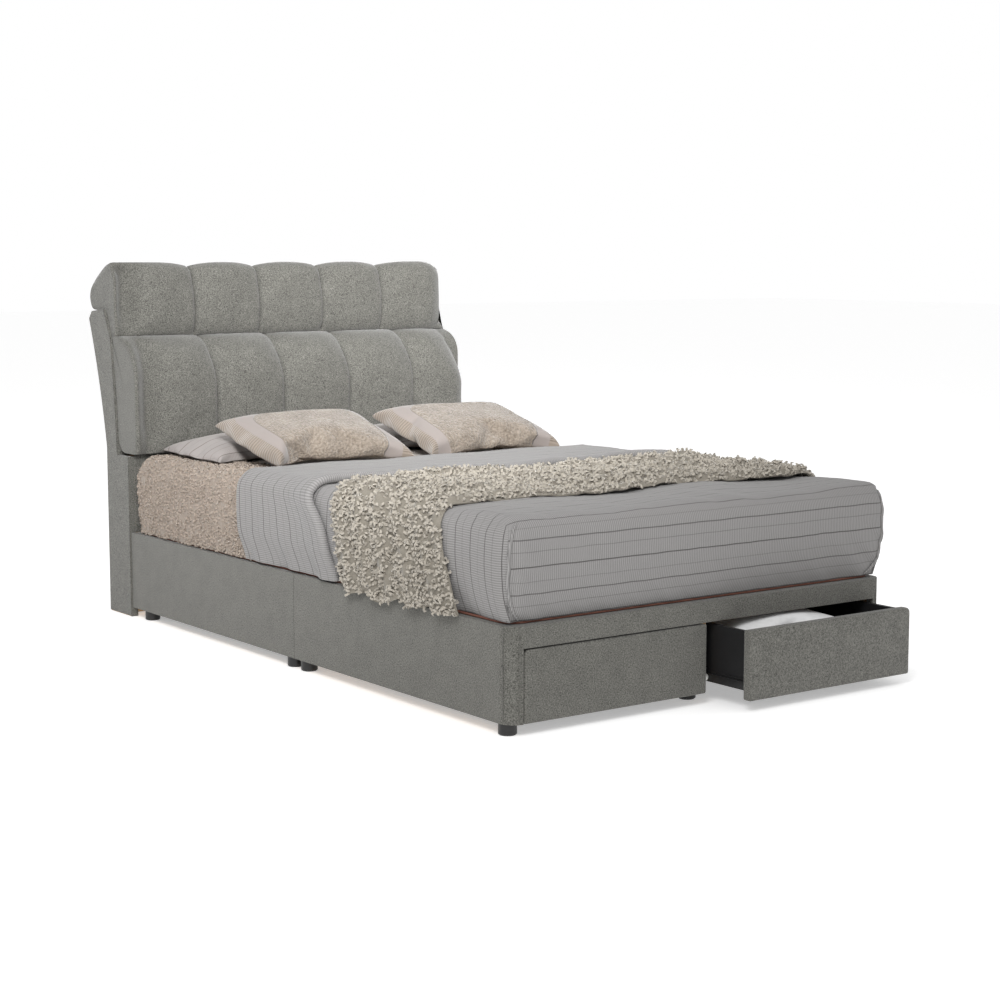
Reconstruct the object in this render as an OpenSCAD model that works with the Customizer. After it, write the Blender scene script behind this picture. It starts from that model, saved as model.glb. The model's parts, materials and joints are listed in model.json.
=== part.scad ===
// Upholstered platform bed: a divan base in two halves, two drawers in the foot end,
// a raked headboard with a lower cushion and a top roll, and the bedding on it.
// Frame: +Y runs from the foot to the head, +X is right as seen from the foot, +Z is up.
// The origin is on the floor, in the middle of the bed's plan with the right drawer part open.

/* [Base] */
// Width of the base over its fabric
base_w = 1200; // [900:10:1800]
// Length of the base from its foot face to the headboard
base_l = 1900; // [1850:10:2200]
// Height of the base from its underside to the top of the deck
base_h = 225; // [210:5:320]
// Gap between the two base halves
joint_gap = 2; // [1:0.5:6]
// Radius of the upright corners at the foot
corner_r = 42; // [38:1:90]
// Width of the corner posts beside the drawers
post_w = 38.5; // [34:0.5:80]
// Length of the corner blocks along the sides
block_l = 60; // [50:1:120]
// Height of the header rail above the drawers
header_h = 51; // [46:1:90]
// Thickness of the fabric cover with its thin wadding
cover_t = 3; // [1:0.5:6]
// Thickness of the side boards
side_t = 15; // [9:1:22]
// Thickness of the cross, end, centre and header boards
board_t = 18; // [12:1:25]
// Thickness of the deck boards
deck_t = 12; // [6:1:18]
// Width of the battens under the deck
batten_w = 44; // [20:1:70]
// Thickness of the dust cloth under the head half
cloth_t = 1; // [0.5:0.5:2]

/* [Glides] */
// Height of the glides
glide_h = 28; // [15:1:80]
// Radius of the glides
glide_r = 22; // [15:1:30]
// Rounding of the glides' lower edge
glide_edge = 3; // [1:0.5:6]
// Distance of the outer glides' centres from the base's sides
glide_in = 25; // [22:1:60]
// Distance of the foot end's outer glides from the foot face
glide_foot = 43; // [25:1:120]
// Distance of the foot end's middle glide from the foot face
glide_mid = 82; // [60:1:200]
// Distance of the joint's glides from the joint
glide_joint = 34; // [24:1:120]
// Distance of the head end's glides from the headboard
glide_head = 80; // [30:1:300]

/* [Drawers] */
// How far the right drawer stands open
right_open = 130; // [0:1:440]
// Gap around the drawer fronts
reveal = 3; // [2:0.5:6]
// Gap between the two drawer fronts
centre_gap = 20; // [6:1:60]
// Thickness of the drawer front boards
front_t = 18; // [12:1:25]
// Turned edge of the fabric behind the drawer fronts
turn_t = 2; // [1:0.5:4]
// Radius of the drawer fronts' top outer corners
front_r = 13; // [4:1:30]
// Radius of the drawer fronts' other corners
front_edge_r = 5; // [4:1:12]
// Depth of the drawer boxes behind their fronts
box_l = 620; // [460:10:800]
// Height of the drawer boxes
box_h = 142; // [90:1:200]
// Height of the drawer boxes' lower edge above the fronts' lower edge
box_lift = 22; // [20:1:60]
// Thickness of the drawer sides and backs
box_t = 12; // [9:1:18]
// Thickness of the drawer bottoms
bottom_t = 6; // [3:1:12]
// Depth of the grooves that hold the drawer bottoms
groove_d = 5; // [3:1:7]
// Height of the grooves above the sides' lower edges
groove_z = 3; // [2:1:20]

/* [Runners] */
// Length of the drawer runners
runner_l = 600; // [400:50:800]
// Space that a runner takes between a drawer and its mounting board
runner_w = 12.5; // [12:0.1:14]
// Thickness of the runners' steel
steel_t = 1.2; // [1:0.1:2]
// Radius of the nylon rollers
roller_r = 10; // [8:0.5:12]
// Radius of the rollers' axles
axle_r = 2.5; // [2:0.1:3]
// Running clearance of the rollers on their axles
axle_play = 0.08; // [0.03:0.01:0.1]
// Height of the front rollers' axles above the fronts' lower edge
roller_z = 32; // [24:1:60]
// Height of the wooden rails that carry the outer runners
rail_h = 60; // [40:1:90]

/* [Headboard] */
// How far the headboard stands proud of the base's sides
hb_proud = 6; // [0:1:60]
// Depth of the headboard's casing at the floor
hb_d = 143; // [110:1:220]
// Height of the casing's back corners
hb_back_z = 886; // [700:1:1100]
// Height at which the back starts to lean
lean_z = 500; // [300:5:600]
// Slope of the back where it starts to lean
lean_slope = 0.17; // [0:0.01:0.3]
// Radius of the leaning back
lean_r = 1890; // [900:10:5000]
// Share of the back's lean that the front follows
front_share = 0.35; // [0:0.05:1]
// Thickness of the casing's cheek boards
cheek_t = 18; // [12:1:25]
// Thickness of the casing's fabric
skin_t = 2; // [1:0.5:4]
// Thickness of the front panel and of the backer board
panel_t = 12; // [6:1:18]
// Depth of the ledge behind the mattress
ledge_d = 74; // [40:1:110]
// Thickness of the lower cushion
cushion_d = 131; // [60:1:170]
// Height of the lower cushion's top above the floor
cushion_top = 826; // [650:1:1000]
// Depth of the rounding at the lower cushion's top
cushion_ry = 90; // [30:1:120]
// Height of the rounding at the lower cushion's top
cushion_rz = 110; // [40:1:160]
// Height of the roll's top above the floor
roll_top = 1052; // [960:1:1200]
// How far the roll stands forward of the casing's front
roll_front = 44; // [20:1:90]
// Height of the rounding at the roll's top
roll_crown = 95; // [60:1:110]
// Height of the rounding under the roll's front
roll_chin = 75; // [20:1:90]
// Thickness of the board inside the roll
roll_board_t = 18; // [12:1:25]
// Height of the board inside the roll
roll_board_h = 305; // [200:5:360]

/* [Bedding] */
// Thickness of the mattress
mattress_t = 224; // [150:1:300]
// Margin between the mattress and the base's edges
mattress_in = 12; // [8:1:40]
// Corner radius of the mattress
mattress_r = 50; // [20:1:90]
// Thickness of the fleece sheet
sheet_t = 6; // [2:1:12]
// Thickness of the duvet
duvet_t = 12; // [8:1:40]
// Distance from the foot face to the duvet's folded head edge
duvet_l = 1213; // [900:1:1600]
// Distance from the foot face to the turned-down edge
duvet_turn = 790; // [700:1:1100]
// Thickness of the throw
throw_t = 16; // [6:1:30]
// Distance from the foot face to the throw
throw_y = 290; // [100:1:500]
// Width of the throw
throw_w = 460; // [300:1:800]
// Width of the pillows
pillow_w = 520; // [350:5:560]
// Depth of the pillows
pillow_d = 345; // [300:5:450]
// Thickness of the pillows
pillow_t = 75; // [40:1:150]
// Width of the cushions
pad_w = 450; // [350:5:560]
// Depth of the cushions
pad_d = 350; // [250:5:450]
// Thickness of the cushions
pad_t = 60; // [40:1:160]
// Slope of the pillows' fronts, which the cushions lie on
pad_tilt = 14; // [5:1:40]
// How far the cushions reach out in front of the pillows
pad_reach = 225; // [100:5:240]
// Place of the left cushion's middle across the bed
left_pad_x = -255; // [-300:5:0]
// Place of the right cushion's middle across the bed
right_pad_x = 275; // [0:5:400]
// Width of the folded quilt in the drawer
quilt_w = 436; // [200:1:500]

/* [Hidden] */
$fn = 64;

eps = 0.01;
clear = 0.5;
left = -1;
right = 1;

// Base: heights and the boards' faces
under_z = glide_h;
top_z = glide_h + base_h;
deck_z = top_z - deck_t;
frame_x = base_w / 2 - cover_t;
side_x = frame_x - side_t;
half_l = (base_l - joint_gap) / 2;
head_y = half_l + joint_gap;
cross_y = half_l - board_t;
end_y = base_l - board_t;
header_z = top_z - header_h;
post_x = base_w / 2 - post_w;
mount_x = post_x + cover_t;
batten_h = header_h - deck_t - cover_t;
batten_z = deck_z - batten_h;

// Drawer fronts and boxes, in their closed place
front_x0 = centre_gap / 2;
front_x1 = post_x - reveal;
front_h = header_z - reveal - 1 - under_z;
front_d = cover_t + front_t + turn_t;
box_x0 = board_t / 2 + runner_w;
box_x1 = mount_x - runner_w;
box_z = under_z + box_lift;
box_top = min(box_z + box_h, under_z + front_h - 6);
centre_y = front_d + 3;

// Runners, measured from a mounting face towards the drawer, and up from the front roller's axle
runner_y = centre_y;
axle_y = roller_r;
roller_u0 = steel_t + 0.8;
roller_u1 = runner_w - steel_t - 0.8;
flange_u = runner_w - steel_t - 0.5;
flange_z = roller_r + 0.1;
rear_z = roller_r + 0.7;
track_top = rear_z - roller_r - 0.1;
lip_z = rear_z + roller_r + 0.5;
rear_y = runner_l - roller_r - 2;
axle_z = under_z + roller_z;

// Headboard
hb_x = base_w / 2 + hb_proud;
cheek_x = hb_x - skin_t - cheek_t;
ledge_z = mattress_top() + sheet_t - 2;
neck_top = hb_back_z + 30;
neck_in = 43;
bolt_r = 4;
bolt_play = 0.5;
bolt_z = under_z + base_h * 0.42;
board_y = base_l + hb_d + lean(hb_back_z) * 0.5 - 34;
board_top = roll_top - 46;
roll_x = hb_x - 8;
roll_back = back_y(hb_back_z) + 2;

// Bedding
mattress_x = base_w / 2 - mattress_in;
mattress_y0 = duvet_t + 3;
mattress_y1 = base_l - 10;
sheet_x = mattress_x + clear + sheet_t;
sheet_top = mattress_top() + clear + sheet_t;
duvet_x = sheet_x + clear + duvet_t;
duvet_top = sheet_top + clear + duvet_t;
duvet_y0 = 1;
turned_x = duvet_x + duvet_t - 2;
throw_x = duvet_x + clear + throw_t;

// Place of the origin along the bed: halfway between the open drawer and the roll's back
mid_y = (roll_back - right_open) / 2;

function mattress_top() = top_z + clear + mattress_t;
function lean(z) = z < lean_z ? 0 : lean_slope * (z - lean_z) + pow(z - lean_z, 2) / (2 * lean_r);
function back_y(z) = base_l + hb_d + lean(z);
function front_y(z) = base_l + ledge_d + front_share * lean(z);

module in_frame() translate([0, -mid_y, 0]) children();

module on_side(s) mirror([s < 0 ? 1 : 0, 0, 0]) children();

module in_drawer(s) in_frame() on_side(s) translate([0, s > 0 ? -right_open : 0, 0]) children();

// A cube between two opposite corners
module block(a, b) translate(a) cube(b - a);

// An outline in the plane of the side, extruded from x0 to x1
module side_profile(points, x0, x1)
  translate([x0, 0, 0]) rotate([90, 0, 90]) linear_extrude(x1 - x0) polygon(points);

// The plan of the foot half, inset by d, with its two round corners
module foot_plan(d) {
  r = corner_r - d;
  x = base_w / 2 - d;
  difference() {
    translate([-x, d]) square([2 * x, half_l - d]);
    for (s = [-1, 1]) difference() {
      translate([s > 0 ? x - r : -x - 1, d - 1]) square([r + 1, r + 1]);
      translate([s * (x - r), d + r]) circle(r);
    }
  }
}

// ---- Base, foot half ----

module side_board(s, y0, y1)
  color("burlywood") in_frame() on_side(s)
    block([side_x, y0, under_z], [frame_x, y1, deck_z]);

module corner_block(s)
  color("burlywood") in_frame() on_side(s)
    intersection() {
      block([mount_x, 0, under_z], [frame_x + 1, block_l, deck_z]);
      translate([0, 0, under_z]) linear_extrude(base_h) foot_plan(cover_t);
    }

module foot_header_rail()
  color("burlywood") in_frame()
    intersection() {
      block([-mount_x, 0, header_z + cover_t], [mount_x, cover_t + board_t, deck_z]);
      translate([0, 0, under_z]) linear_extrude(base_h) foot_plan(cover_t);
    }

module foot_centre_board()
  color("dimgray") in_frame()
    block([-board_t / 2, centre_y, under_z], [board_t / 2, cross_y, deck_z]);

// Holes for the bolts that go through a board along Y
module bolt_holes(xs, y0, y1)
  for (x = xs) translate([x, y0 - 1, bolt_z]) rotate([-90, 0, 0])
    cylinder(h = y1 - y0 + 2, r = bolt_r + bolt_play);

module cross_board(y0, xs)
  color("burlywood") in_frame()
    difference() {
      block([-side_x, y0, under_z], [side_x, y0 + board_t, deck_z]);
      bolt_holes(xs, y0, y0 + board_t);
    }

module battens(y0, y1)
  color("tan") in_frame()
    for (s = [-1, 1], k = [1, 2]) on_side(s)
      block([board_t / 2, y0 + k * (y1 - y0) / 3 - batten_w / 2, batten_z],
            [side_x, y0 + k * (y1 - y0) / 3 + batten_w / 2, deck_z]);

module foot_deck_board()
  color("wheat") in_frame()
    translate([0, 0, deck_z]) linear_extrude(deck_t) foot_plan(cover_t);

module foot_cover()
  color("gray") in_frame() {
    difference() {
      translate([0, 0, under_z]) linear_extrude(base_h) foot_plan(0);
      translate([0, 0, under_z - 1]) linear_extrude(base_h + 2) foot_plan(cover_t);
      block([-frame_x, half_l - 1, under_z - 1], [frame_x, half_l + 1, top_z + 1]);
      block([-post_x, -1, under_z - 1], [post_x, cover_t + 1, header_z]);
    }
    block([-post_x, cover_t - eps, header_z], [post_x, cover_t + board_t, header_z + cover_t]);
    for (s = [-1, 1]) on_side(s)
      block([post_x, cover_t - eps, under_z], [mount_x, front_d - 1, header_z + cover_t]);
  }

module glide()
  rotate_extrude() polygon([[0, 0], [glide_r - glide_edge, 0], [glide_r, glide_edge],
    [glide_r, glide_h], [0, glide_h]]);

module glides(spots)
  color("black") in_frame() for (p = spots) translate([p[0], p[1], 0]) glide();

glide_x = base_w / 2 - glide_in;
foot_spots = [for (x = [-glide_x, 0, glide_x], y = [x == 0 ? glide_mid : glide_foot,
  half_l - glide_joint]) [x, y]];
head_spots = [for (x = [-glide_x, 0, glide_x], y = [head_y + glide_joint, base_l - glide_head]) [x, y]];

// ---- Base, head half ----

module head_covers()
  color("gray") in_frame() for (s = [-1, 1]) on_side(s)
    block([frame_x, head_y, under_z], [base_w / 2, base_l, top_z]);

module head_deck_board()
  color("wheat") in_frame() block([-frame_x, head_y, deck_z], [frame_x, base_l, top_z]);

module head_centre_board()
  color("burlywood") in_frame()
    block([-board_t / 2, head_y + board_t, under_z], [board_t / 2, end_y, deck_z]);

module head_dust_cloth()
  color("black") in_frame() for (s = [-1, 1]) on_side(s)
    block([board_t / 2, head_y + board_t, under_z], [side_x, end_y, under_z + cloth_t]);

// A bolt along Y with its head at y0 and a nut behind y1
module bolt(y0, y1) {
  head_r = 1.6 * bolt_r;
  head_h = 1.3 * bolt_r;
  translate([0, y0 - head_h, 0]) rotate([-90, 0, 0]) cylinder(h = head_h, r = head_r, $fn = 6);
  translate([0, y0 - eps, 0]) rotate([-90, 0, 0]) cylinder(h = y1 - y0 + 3 * bolt_r, r = bolt_r);
  translate([0, y1, 0]) rotate([-90, 0, 0]) difference() {
    cylinder(h = 1.6 * bolt_r, r = head_r + 1, $fn = 6);
    translate([0, 0, -1]) cylinder(h = 4 * bolt_r, r = bolt_r + axle_play);
  }
}

joining_xs = [-base_w / 4, base_w / 4];
headboard_xs = [for (k = [-3, -1, 1, 3]) k * base_w / 7.5];

module joining_bolts()
  color("silver") in_frame() for (x = joining_xs) translate([x, 0, bolt_z])
    bolt(cross_y, head_y + board_t);

module headboard_bolts()
  color("silver") in_frame() for (x = headboard_xs) translate([x, 0, bolt_z])
    bolt(end_y, base_l + panel_t);

// ---- Headboard ----

// Outline of a cheek, inset by d, from the height z0 up
function cheek_outline(d, z0) = concat(
  [[base_l + d, z0], [base_l + d, ledge_z - d], [base_l + ledge_d + d, ledge_z - d]],
  [for (k = [1:6]) let (z = ledge_z + (cushion_top - ledge_z) * k / 6) [front_y(z) + d, z]],
  [[front_y(cushion_top) + neck_in + d, neck_top - d], [back_y(hb_back_z) - 20 - d, neck_top - 8 - d],
   [back_y(hb_back_z) - d, hb_back_z - d]],
  [for (k = [8:-1:0]) let (z = lean_z + (hb_back_z - lean_z) * k / 9) [back_y(z) - d, z]],
  [[back_y(0) - d, z0]]);

module cheek(s)
  color("burlywood") in_frame() on_side(s)
    side_profile(cheek_outline(skin_t, 0), cheek_x, cheek_x + cheek_t);

module headboard_side_covers()
  color("gray") in_frame() for (s = [-1, 1]) on_side(s)
    difference() {
      side_profile(cheek_outline(0, 2), cheek_x, hb_x);
      side_profile(cheek_outline(skin_t, -1), cheek_x - 1, cheek_x + cheek_t);
    }

module headboard_front_panel()
  color("burlywood") in_frame()
    difference() {
      block([-cheek_x, base_l, under_z], [cheek_x, base_l + panel_t, ledge_z - skin_t]);
      bolt_holes(headboard_xs, base_l, base_l + panel_t);
    }

module headboard_rails() {
  rail_y = base_l + panel_t;
  color("tan") in_frame() {
    block([-cheek_x, rail_y, 10], [cheek_x, rail_y + 40, 70]);
    block([-cheek_x, rail_y, ledge_z - skin_t - 40], [cheek_x, base_l + ledge_d, ledge_z - skin_t]);
    block([-cheek_x, board_y - 34, board_top - roll_board_h + 20],
          [cheek_x, board_y, board_top - roll_board_h + 70]);
  }
}

// A sheet between two lines in the plane of the side: front(z) + a and front(z) + b
function backer_outline(a, b) = concat(
  [for (k = [0:6]) let (z = ledge_z + (cushion_top - ledge_z) * k / 6) [front_y(z) + a, z]],
  [for (k = [6:-1:0]) let (z = ledge_z + (cushion_top - ledge_z) * k / 6) [front_y(z) + b, z]]);

module headboard_backer()
  color("burlywood") in_frame()
    side_profile(backer_outline(skin_t, skin_t + panel_t), -cheek_x, cheek_x);

module headboard_back_cloth() {
  zs = concat([2, lean_z], [for (k = [1:9]) lean_z + (hb_back_z - 4 - lean_z) * k / 9]);
  n = len(zs);
  color("gray") in_frame()
    side_profile(concat([for (z = zs) [back_y(z), z]],
      [for (k = [n - 1:-1:0]) [back_y(zs[k]) - skin_t, zs[k]]]), -cheek_x, cheek_x);
}

module headboard_roll_board()
  color("burlywood") in_frame()
    block([-cheek_x, board_y, board_top - roll_board_h],
          [cheek_x, board_y + roll_board_t, board_top]);

module headboard_cushion() {
  z0 = sheet_top + 3;
  yf = base_l + ledge_d - cushion_d;
  ye = yf + cushion_ry;
  ze = cushion_top - 2 - cushion_rz;
  top = [for (k = [0:8]) let (t = 90 * k / 8)
    [ye - cushion_ry * cos(t), ze + cushion_rz * sin(t)]];
  back = [for (k = [6:-1:0]) let (z = z0 + (cushion_top - 2 - z0) * k / 6) [front_y(z) - clear, z]];
  color("gray") in_frame()
    side_profile(concat([[yf + 20, z0], [yf, z0 + 30]], top, back), -cheek_x + 2, cheek_x - 2);
}

// Points on an arc of an ellipse in the plane of the side
function arc(cy, cz, ry, rz, a0, a1, n) =
  [for (k = [0:n]) let (t = a0 + (a1 - a0) * k / n) [cy + ry * cos(t), cz + rz * sin(t)]];

module headboard_roll() {
  yf = front_y(cushion_top) - roll_front;
  y0 = front_y(cushion_top);
  half_d = (roll_back - yf) / 2;
  front = arc(y0 - 4, cushion_top + 4 + roll_chin, y0 - 4 - yf, roll_chin, 270, 180, 8);
  top = arc(yf + half_d, roll_top - roll_crown, half_d, roll_crown, 180, 0, 16);
  seat = [[roll_back, neck_top + 12], [roll_back - 16, neck_top - 4 + clear],
    [y0 + neck_in - clear, neck_top + clear], [y0 - clear, cushion_top + 4]];
  color("gray") in_frame()
    difference() {
      side_profile(concat(front, top, seat), -roll_x, roll_x);
      block([-cheek_x - clear, board_y - clear, cushion_top - 20],
            [cheek_x + clear, board_y + roll_board_t + clear, board_top + clear]);
    }
}

// ---- Runners ----

// Places a runner part on an outer mounting rail and on the centre board
module on_mounts() {
  translate([board_t / 2, 0, 0]) children();
  translate([mount_x, 0, 0]) mirror([1, 0, 0]) children();
}

module axle_along_x(u0, u1, y, z, r)
  translate([u0, y, z]) rotate([0, 90, 0]) cylinder(h = u1 - u0, r = r);

module cabinet_member() {
  block([0, 0, -roller_r - 2], [steel_t, runner_l, lip_z + steel_t]);
  block([steel_t - eps, 2 * roller_r + 2, track_top - steel_t], [flange_u, runner_l, track_top]);
  block([steel_t - eps, 0, lip_z], [flange_u, runner_l, lip_z + steel_t]);
  axle_along_x(steel_t - eps, flange_u, axle_y, 0, axle_r);
}

module drawer_member() {
  foot_z = box_z - axle_z;
  u0 = runner_w - steel_t;
  block([u0, 0, foot_z - steel_t], [runner_w, runner_l, rear_z + 6]);
  block([runner_w - eps, 0, foot_z - steel_t], [runner_w + box_t, runner_l, foot_z]);
  block([roller_u0 + 1, 0, flange_z], [u0 + eps, rear_y - roller_r - 2, flange_z + steel_t]);
  axle_along_x(roller_u0, u0 + eps, rear_y, rear_z, axle_r);
}

module roller(y, z)
  difference() {
    axle_along_x(roller_u0, roller_u1, y, z, roller_r);
    axle_along_x(0, runner_w, y, z, axle_r + axle_play);
  }

module cabinet_runners(s)
  color("whitesmoke") in_frame() on_side(s) on_mounts()
    translate([0, runner_y, axle_z]) cabinet_member();

module drawer_runners(s)
  color("whitesmoke") in_drawer(s) on_mounts()
    translate([0, front_d, axle_z]) drawer_member();

module front_rollers(s)
  color("white") in_frame() on_side(s) on_mounts()
    translate([0, runner_y, axle_z]) roller(axle_y, 0);

module rear_rollers(s)
  color("white") in_drawer(s) on_mounts()
    translate([0, front_d, axle_z]) roller(rear_y, rear_z);

module runner_rails()
  color("tan") in_frame() for (s = [-1, 1]) on_side(s)
    block([mount_x, block_l, axle_z - rail_h / 3],
          [side_x, runner_y + runner_l, axle_z + 2 * rail_h / 3]);

// ---- Drawers ----

// A front's outline in X and Z, inset by d, with a larger round at its top outer corner
module front_outline(d) {
  r = front_edge_r - d;
  rt = front_r - d;
  x0 = front_x0 + d;
  x1 = front_x1 - d;
  z0 = under_z + d;
  z1 = under_z + front_h - d;
  difference() {
    translate([x0, z0]) square([x1 - x0, z1 - z0]);
    corner_cut(x0, z0, r, 1, 1);
    corner_cut(x1, z0, r, -1, 1);
    corner_cut(x0, z1, r, 1, -1);
    corner_cut(x1, z1, rt, -1, -1);
  }
}

// What a round of radius r takes off the corner at x, z; sx and sz point into the outline
module corner_cut(x, z, r, sx, sz)
  difference() {
    translate([sx > 0 ? x - 1 : x - r, sz > 0 ? z - 1 : z - r]) square(r + 1);
    translate([x + sx * r, z + sz * r]) circle(r);
  }

module front_slab(d, y0, y1)
  translate([0, y1, 0]) rotate([90, 0, 0]) linear_extrude(y1 - y0) front_outline(d);

module front_board(s)
  color("burlywood") in_drawer(s) front_slab(cover_t, cover_t, cover_t + front_t);

module front_cover(s)
  color("gray") in_drawer(s)
    difference() {
      front_slab(0, 0, front_d);
      front_slab(cover_t, cover_t, cover_t + front_t);
      block([box_x0 - 1, front_d - 2 * turn_t, box_z - 2], [box_x1 + 1, front_d + 1, box_top + 1]);
    }

module drawer_sides(s)
  color("black") in_drawer(s) {
    for (x = [box_x0, box_x1 - box_t])
      difference() {
        block([x, cover_t + front_t, box_z], [x + box_t, front_d + box_l, box_top]);
        block([x == box_x0 ? x + box_t - groove_d : x - 1, 0, box_z + groove_z],
              [x == box_x0 ? x + box_t + 1 : x + groove_d, front_d + box_l + 1,
               box_z + groove_z + bottom_t]);
      }
  }

module drawer_back(s)
  color("black") in_drawer(s)
    block([box_x0 + box_t, front_d + box_l - box_t, box_z + groove_z + bottom_t],
          [box_x1 - box_t, front_d + box_l, box_top]);

module drawer_bottom(s)
  color("black") in_drawer(s)
    block([box_x0 + box_t - groove_d, cover_t + front_t, box_z + groove_z],
          [box_x1 - box_t + groove_d, front_d + box_l, box_z + groove_z + bottom_t]);

module drawer_quilt()
  color("white") in_drawer(right) {
    x0 = box_x0 + box_t + 2;
    block([x0, front_d + 4, box_z + groove_z + bottom_t], [x0 + quilt_w, front_d + box_l * 0.8, box_top]);
    block([x0 + 20, front_d + 24, box_top - eps], [x0 + quilt_w - 20, front_d + box_l * 0.78, header_z - 4]);
  }

// ---- Bedding ----

// A plan with four round corners, from y0 to y1 and x wide on each side
module bed_plan(x, y0, y1, r)
  difference() {
    translate([-x, y0]) square([2 * x, y1 - y0]);
    for (s = [-1, 1], e = [0, 1]) difference() {
      translate([s > 0 ? x - r : -x - 1, e > 0 ? y1 - r : y0 - 1]) square(r + 1);
      translate([s * (x - r), e > 0 ? y1 - r : y0 + r]) circle(r);
    }
  }

module mattress()
  color("ivory") in_frame()
    translate([0, 0, top_z + clear]) linear_extrude(mattress_t)
      bed_plan(mattress_x, mattress_y0 + sheet_t + 2 * clear, mattress_y1 - sheet_t - clear, mattress_r);

module fleece_sheet()
  color("antiquewhite") in_frame()
    difference() {
      translate([0, 0, top_z + 2 * clear]) linear_extrude(sheet_top - top_z - 2 * clear)
        bed_plan(sheet_x, mattress_y0 + clear, mattress_y1, mattress_r + sheet_t);
      translate([0, 0, top_z]) linear_extrude(mattress_top() + clear - top_z)
        bed_plan(mattress_x + clear, mattress_y0 + sheet_t + clear, mattress_y1 - sheet_t, mattress_r);
    }

// The duvet lies over the sheet, tucked at the foot, and is turned down at the head side
module duvet()
  color("lightgray") in_frame()
    difference() {
      union() {
        intersection() {
          translate([0, 0, top_z + 1]) linear_extrude(duvet_top - top_z - 1)
            bed_plan(duvet_x, duvet_y0, base_l, mattress_r + sheet_t + duvet_t);
          block([-base_w, 0, 0], [base_w, duvet_l, duvet_top]);
        }
        block([-turned_x, duvet_turn, top_z + 2], [turned_x, duvet_l, duvet_top + duvet_t - 2]);
      }
      translate([0, 0, top_z]) linear_extrude(sheet_top + clear - top_z)
        bed_plan(sheet_x + clear, mattress_y0, base_l, mattress_r + sheet_t);
    }

module throw()
  color("linen") in_frame()
    difference() {
      block([-throw_x, throw_y, top_z + 4], [throw_x, throw_y + throw_w, duvet_top + clear + throw_t]);
      block([-duvet_x - clear, throw_y - 1, 0], [duvet_x + clear, throw_y + throw_w + 1, duvet_top + clear]);
    }

// Front edge of the pillows, just clear of the headboard's cushion behind them
pillow_y = base_l + ledge_d - cushion_d - 8 - pillow_d;
pillow_x = pillow_w / 2 + 5;
// Front edge of the cushions, and the height at which they meet the pillows' front edges
pad_y = pillow_y - pad_reach;
pillow_edge = pad_reach * tan(pad_tilt);

// A pillow is thin at the front and full at the back
module pillows() {
  z0 = sheet_top + clear;
  slope_d = (pillow_t - pillow_edge) / tan(pad_tilt);
  color("gainsboro") in_frame() for (x = [-pillow_x, pillow_x])
    side_profile([[pillow_y, z0], [pillow_y + pillow_d, z0], [pillow_y + pillow_d, z0 + pillow_t],
      [pillow_y + slope_d, z0 + pillow_t], [pillow_y, z0 + pillow_edge]],
      x - pillow_w / 2, x + pillow_w / 2);
}

module leaning_cushion(x)
  color("tan") in_frame()
    translate([x, pad_y, sheet_top + 3 * clear]) rotate([pad_tilt, 0, 0])
      linear_extrude(pad_t) bed_plan(pad_w / 2, 0, pad_d, pad_w / 12);

// ---- Nodes ----

side_board(left, block_l, half_l);  // foot_side_board_left
side_board(right, block_l, half_l);  // foot_side_board_right
corner_block(left);  // foot_corner_block_left
corner_block(right);  // foot_corner_block_right
foot_header_rail();
foot_centre_board();
cross_board(cross_y, joining_xs);  // foot_cross_board
battens(centre_y, cross_y);  // foot_battens
foot_deck_board();
foot_cover();
glides(foot_spots);  // foot_glides
side_board(left, head_y, base_l);  // head_side_board_left
side_board(right, head_y, base_l);  // head_side_board_right
cross_board(head_y, joining_xs);  // head_cross_board
cross_board(end_y, headboard_xs);  // head_end_board
head_centre_board();
battens(head_y + board_t, end_y);  // head_battens
head_deck_board();
head_covers();
head_dust_cloth();
glides(head_spots);  // head_glides
joining_bolts();
cheek(left);  // headboard_cheek_left
cheek(right);  // headboard_cheek_right
headboard_front_panel();
headboard_rails();
headboard_backer();
headboard_roll_board();
headboard_side_covers();
headboard_back_cloth();
headboard_cushion();
headboard_roll();
headboard_bolts();
runner_rails();
cabinet_runners(left);  // left_cabinet_runners
cabinet_runners(right);  // right_cabinet_runners
front_board(left);  // left_front_board
front_cover(left);  // left_front_cover
drawer_sides(left);  // left_drawer_sides
drawer_back(left);  // left_drawer_back
drawer_bottom(left);  // left_drawer_bottom
drawer_runners(left);  // left_drawer_runners
front_board(right);  // right_front_board
front_cover(right);  // right_front_cover
drawer_sides(right);  // right_drawer_sides
drawer_back(right);  // right_drawer_back
drawer_bottom(right);  // right_drawer_bottom
drawer_runners(right);  // right_drawer_runners
front_rollers(left);  // left_front_rollers
rear_rollers(left);  // left_rear_rollers
front_rollers(right);  // right_front_rollers
rear_rollers(right);  // right_rear_rollers
mattress();
fleece_sheet();
duvet();
throw();
pillows();
leaning_cushion(left_pad_x);  // left_cushion
leaning_cushion(right_pad_x);  // right_cushion
drawer_quilt();
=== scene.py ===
import json
import math

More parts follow.
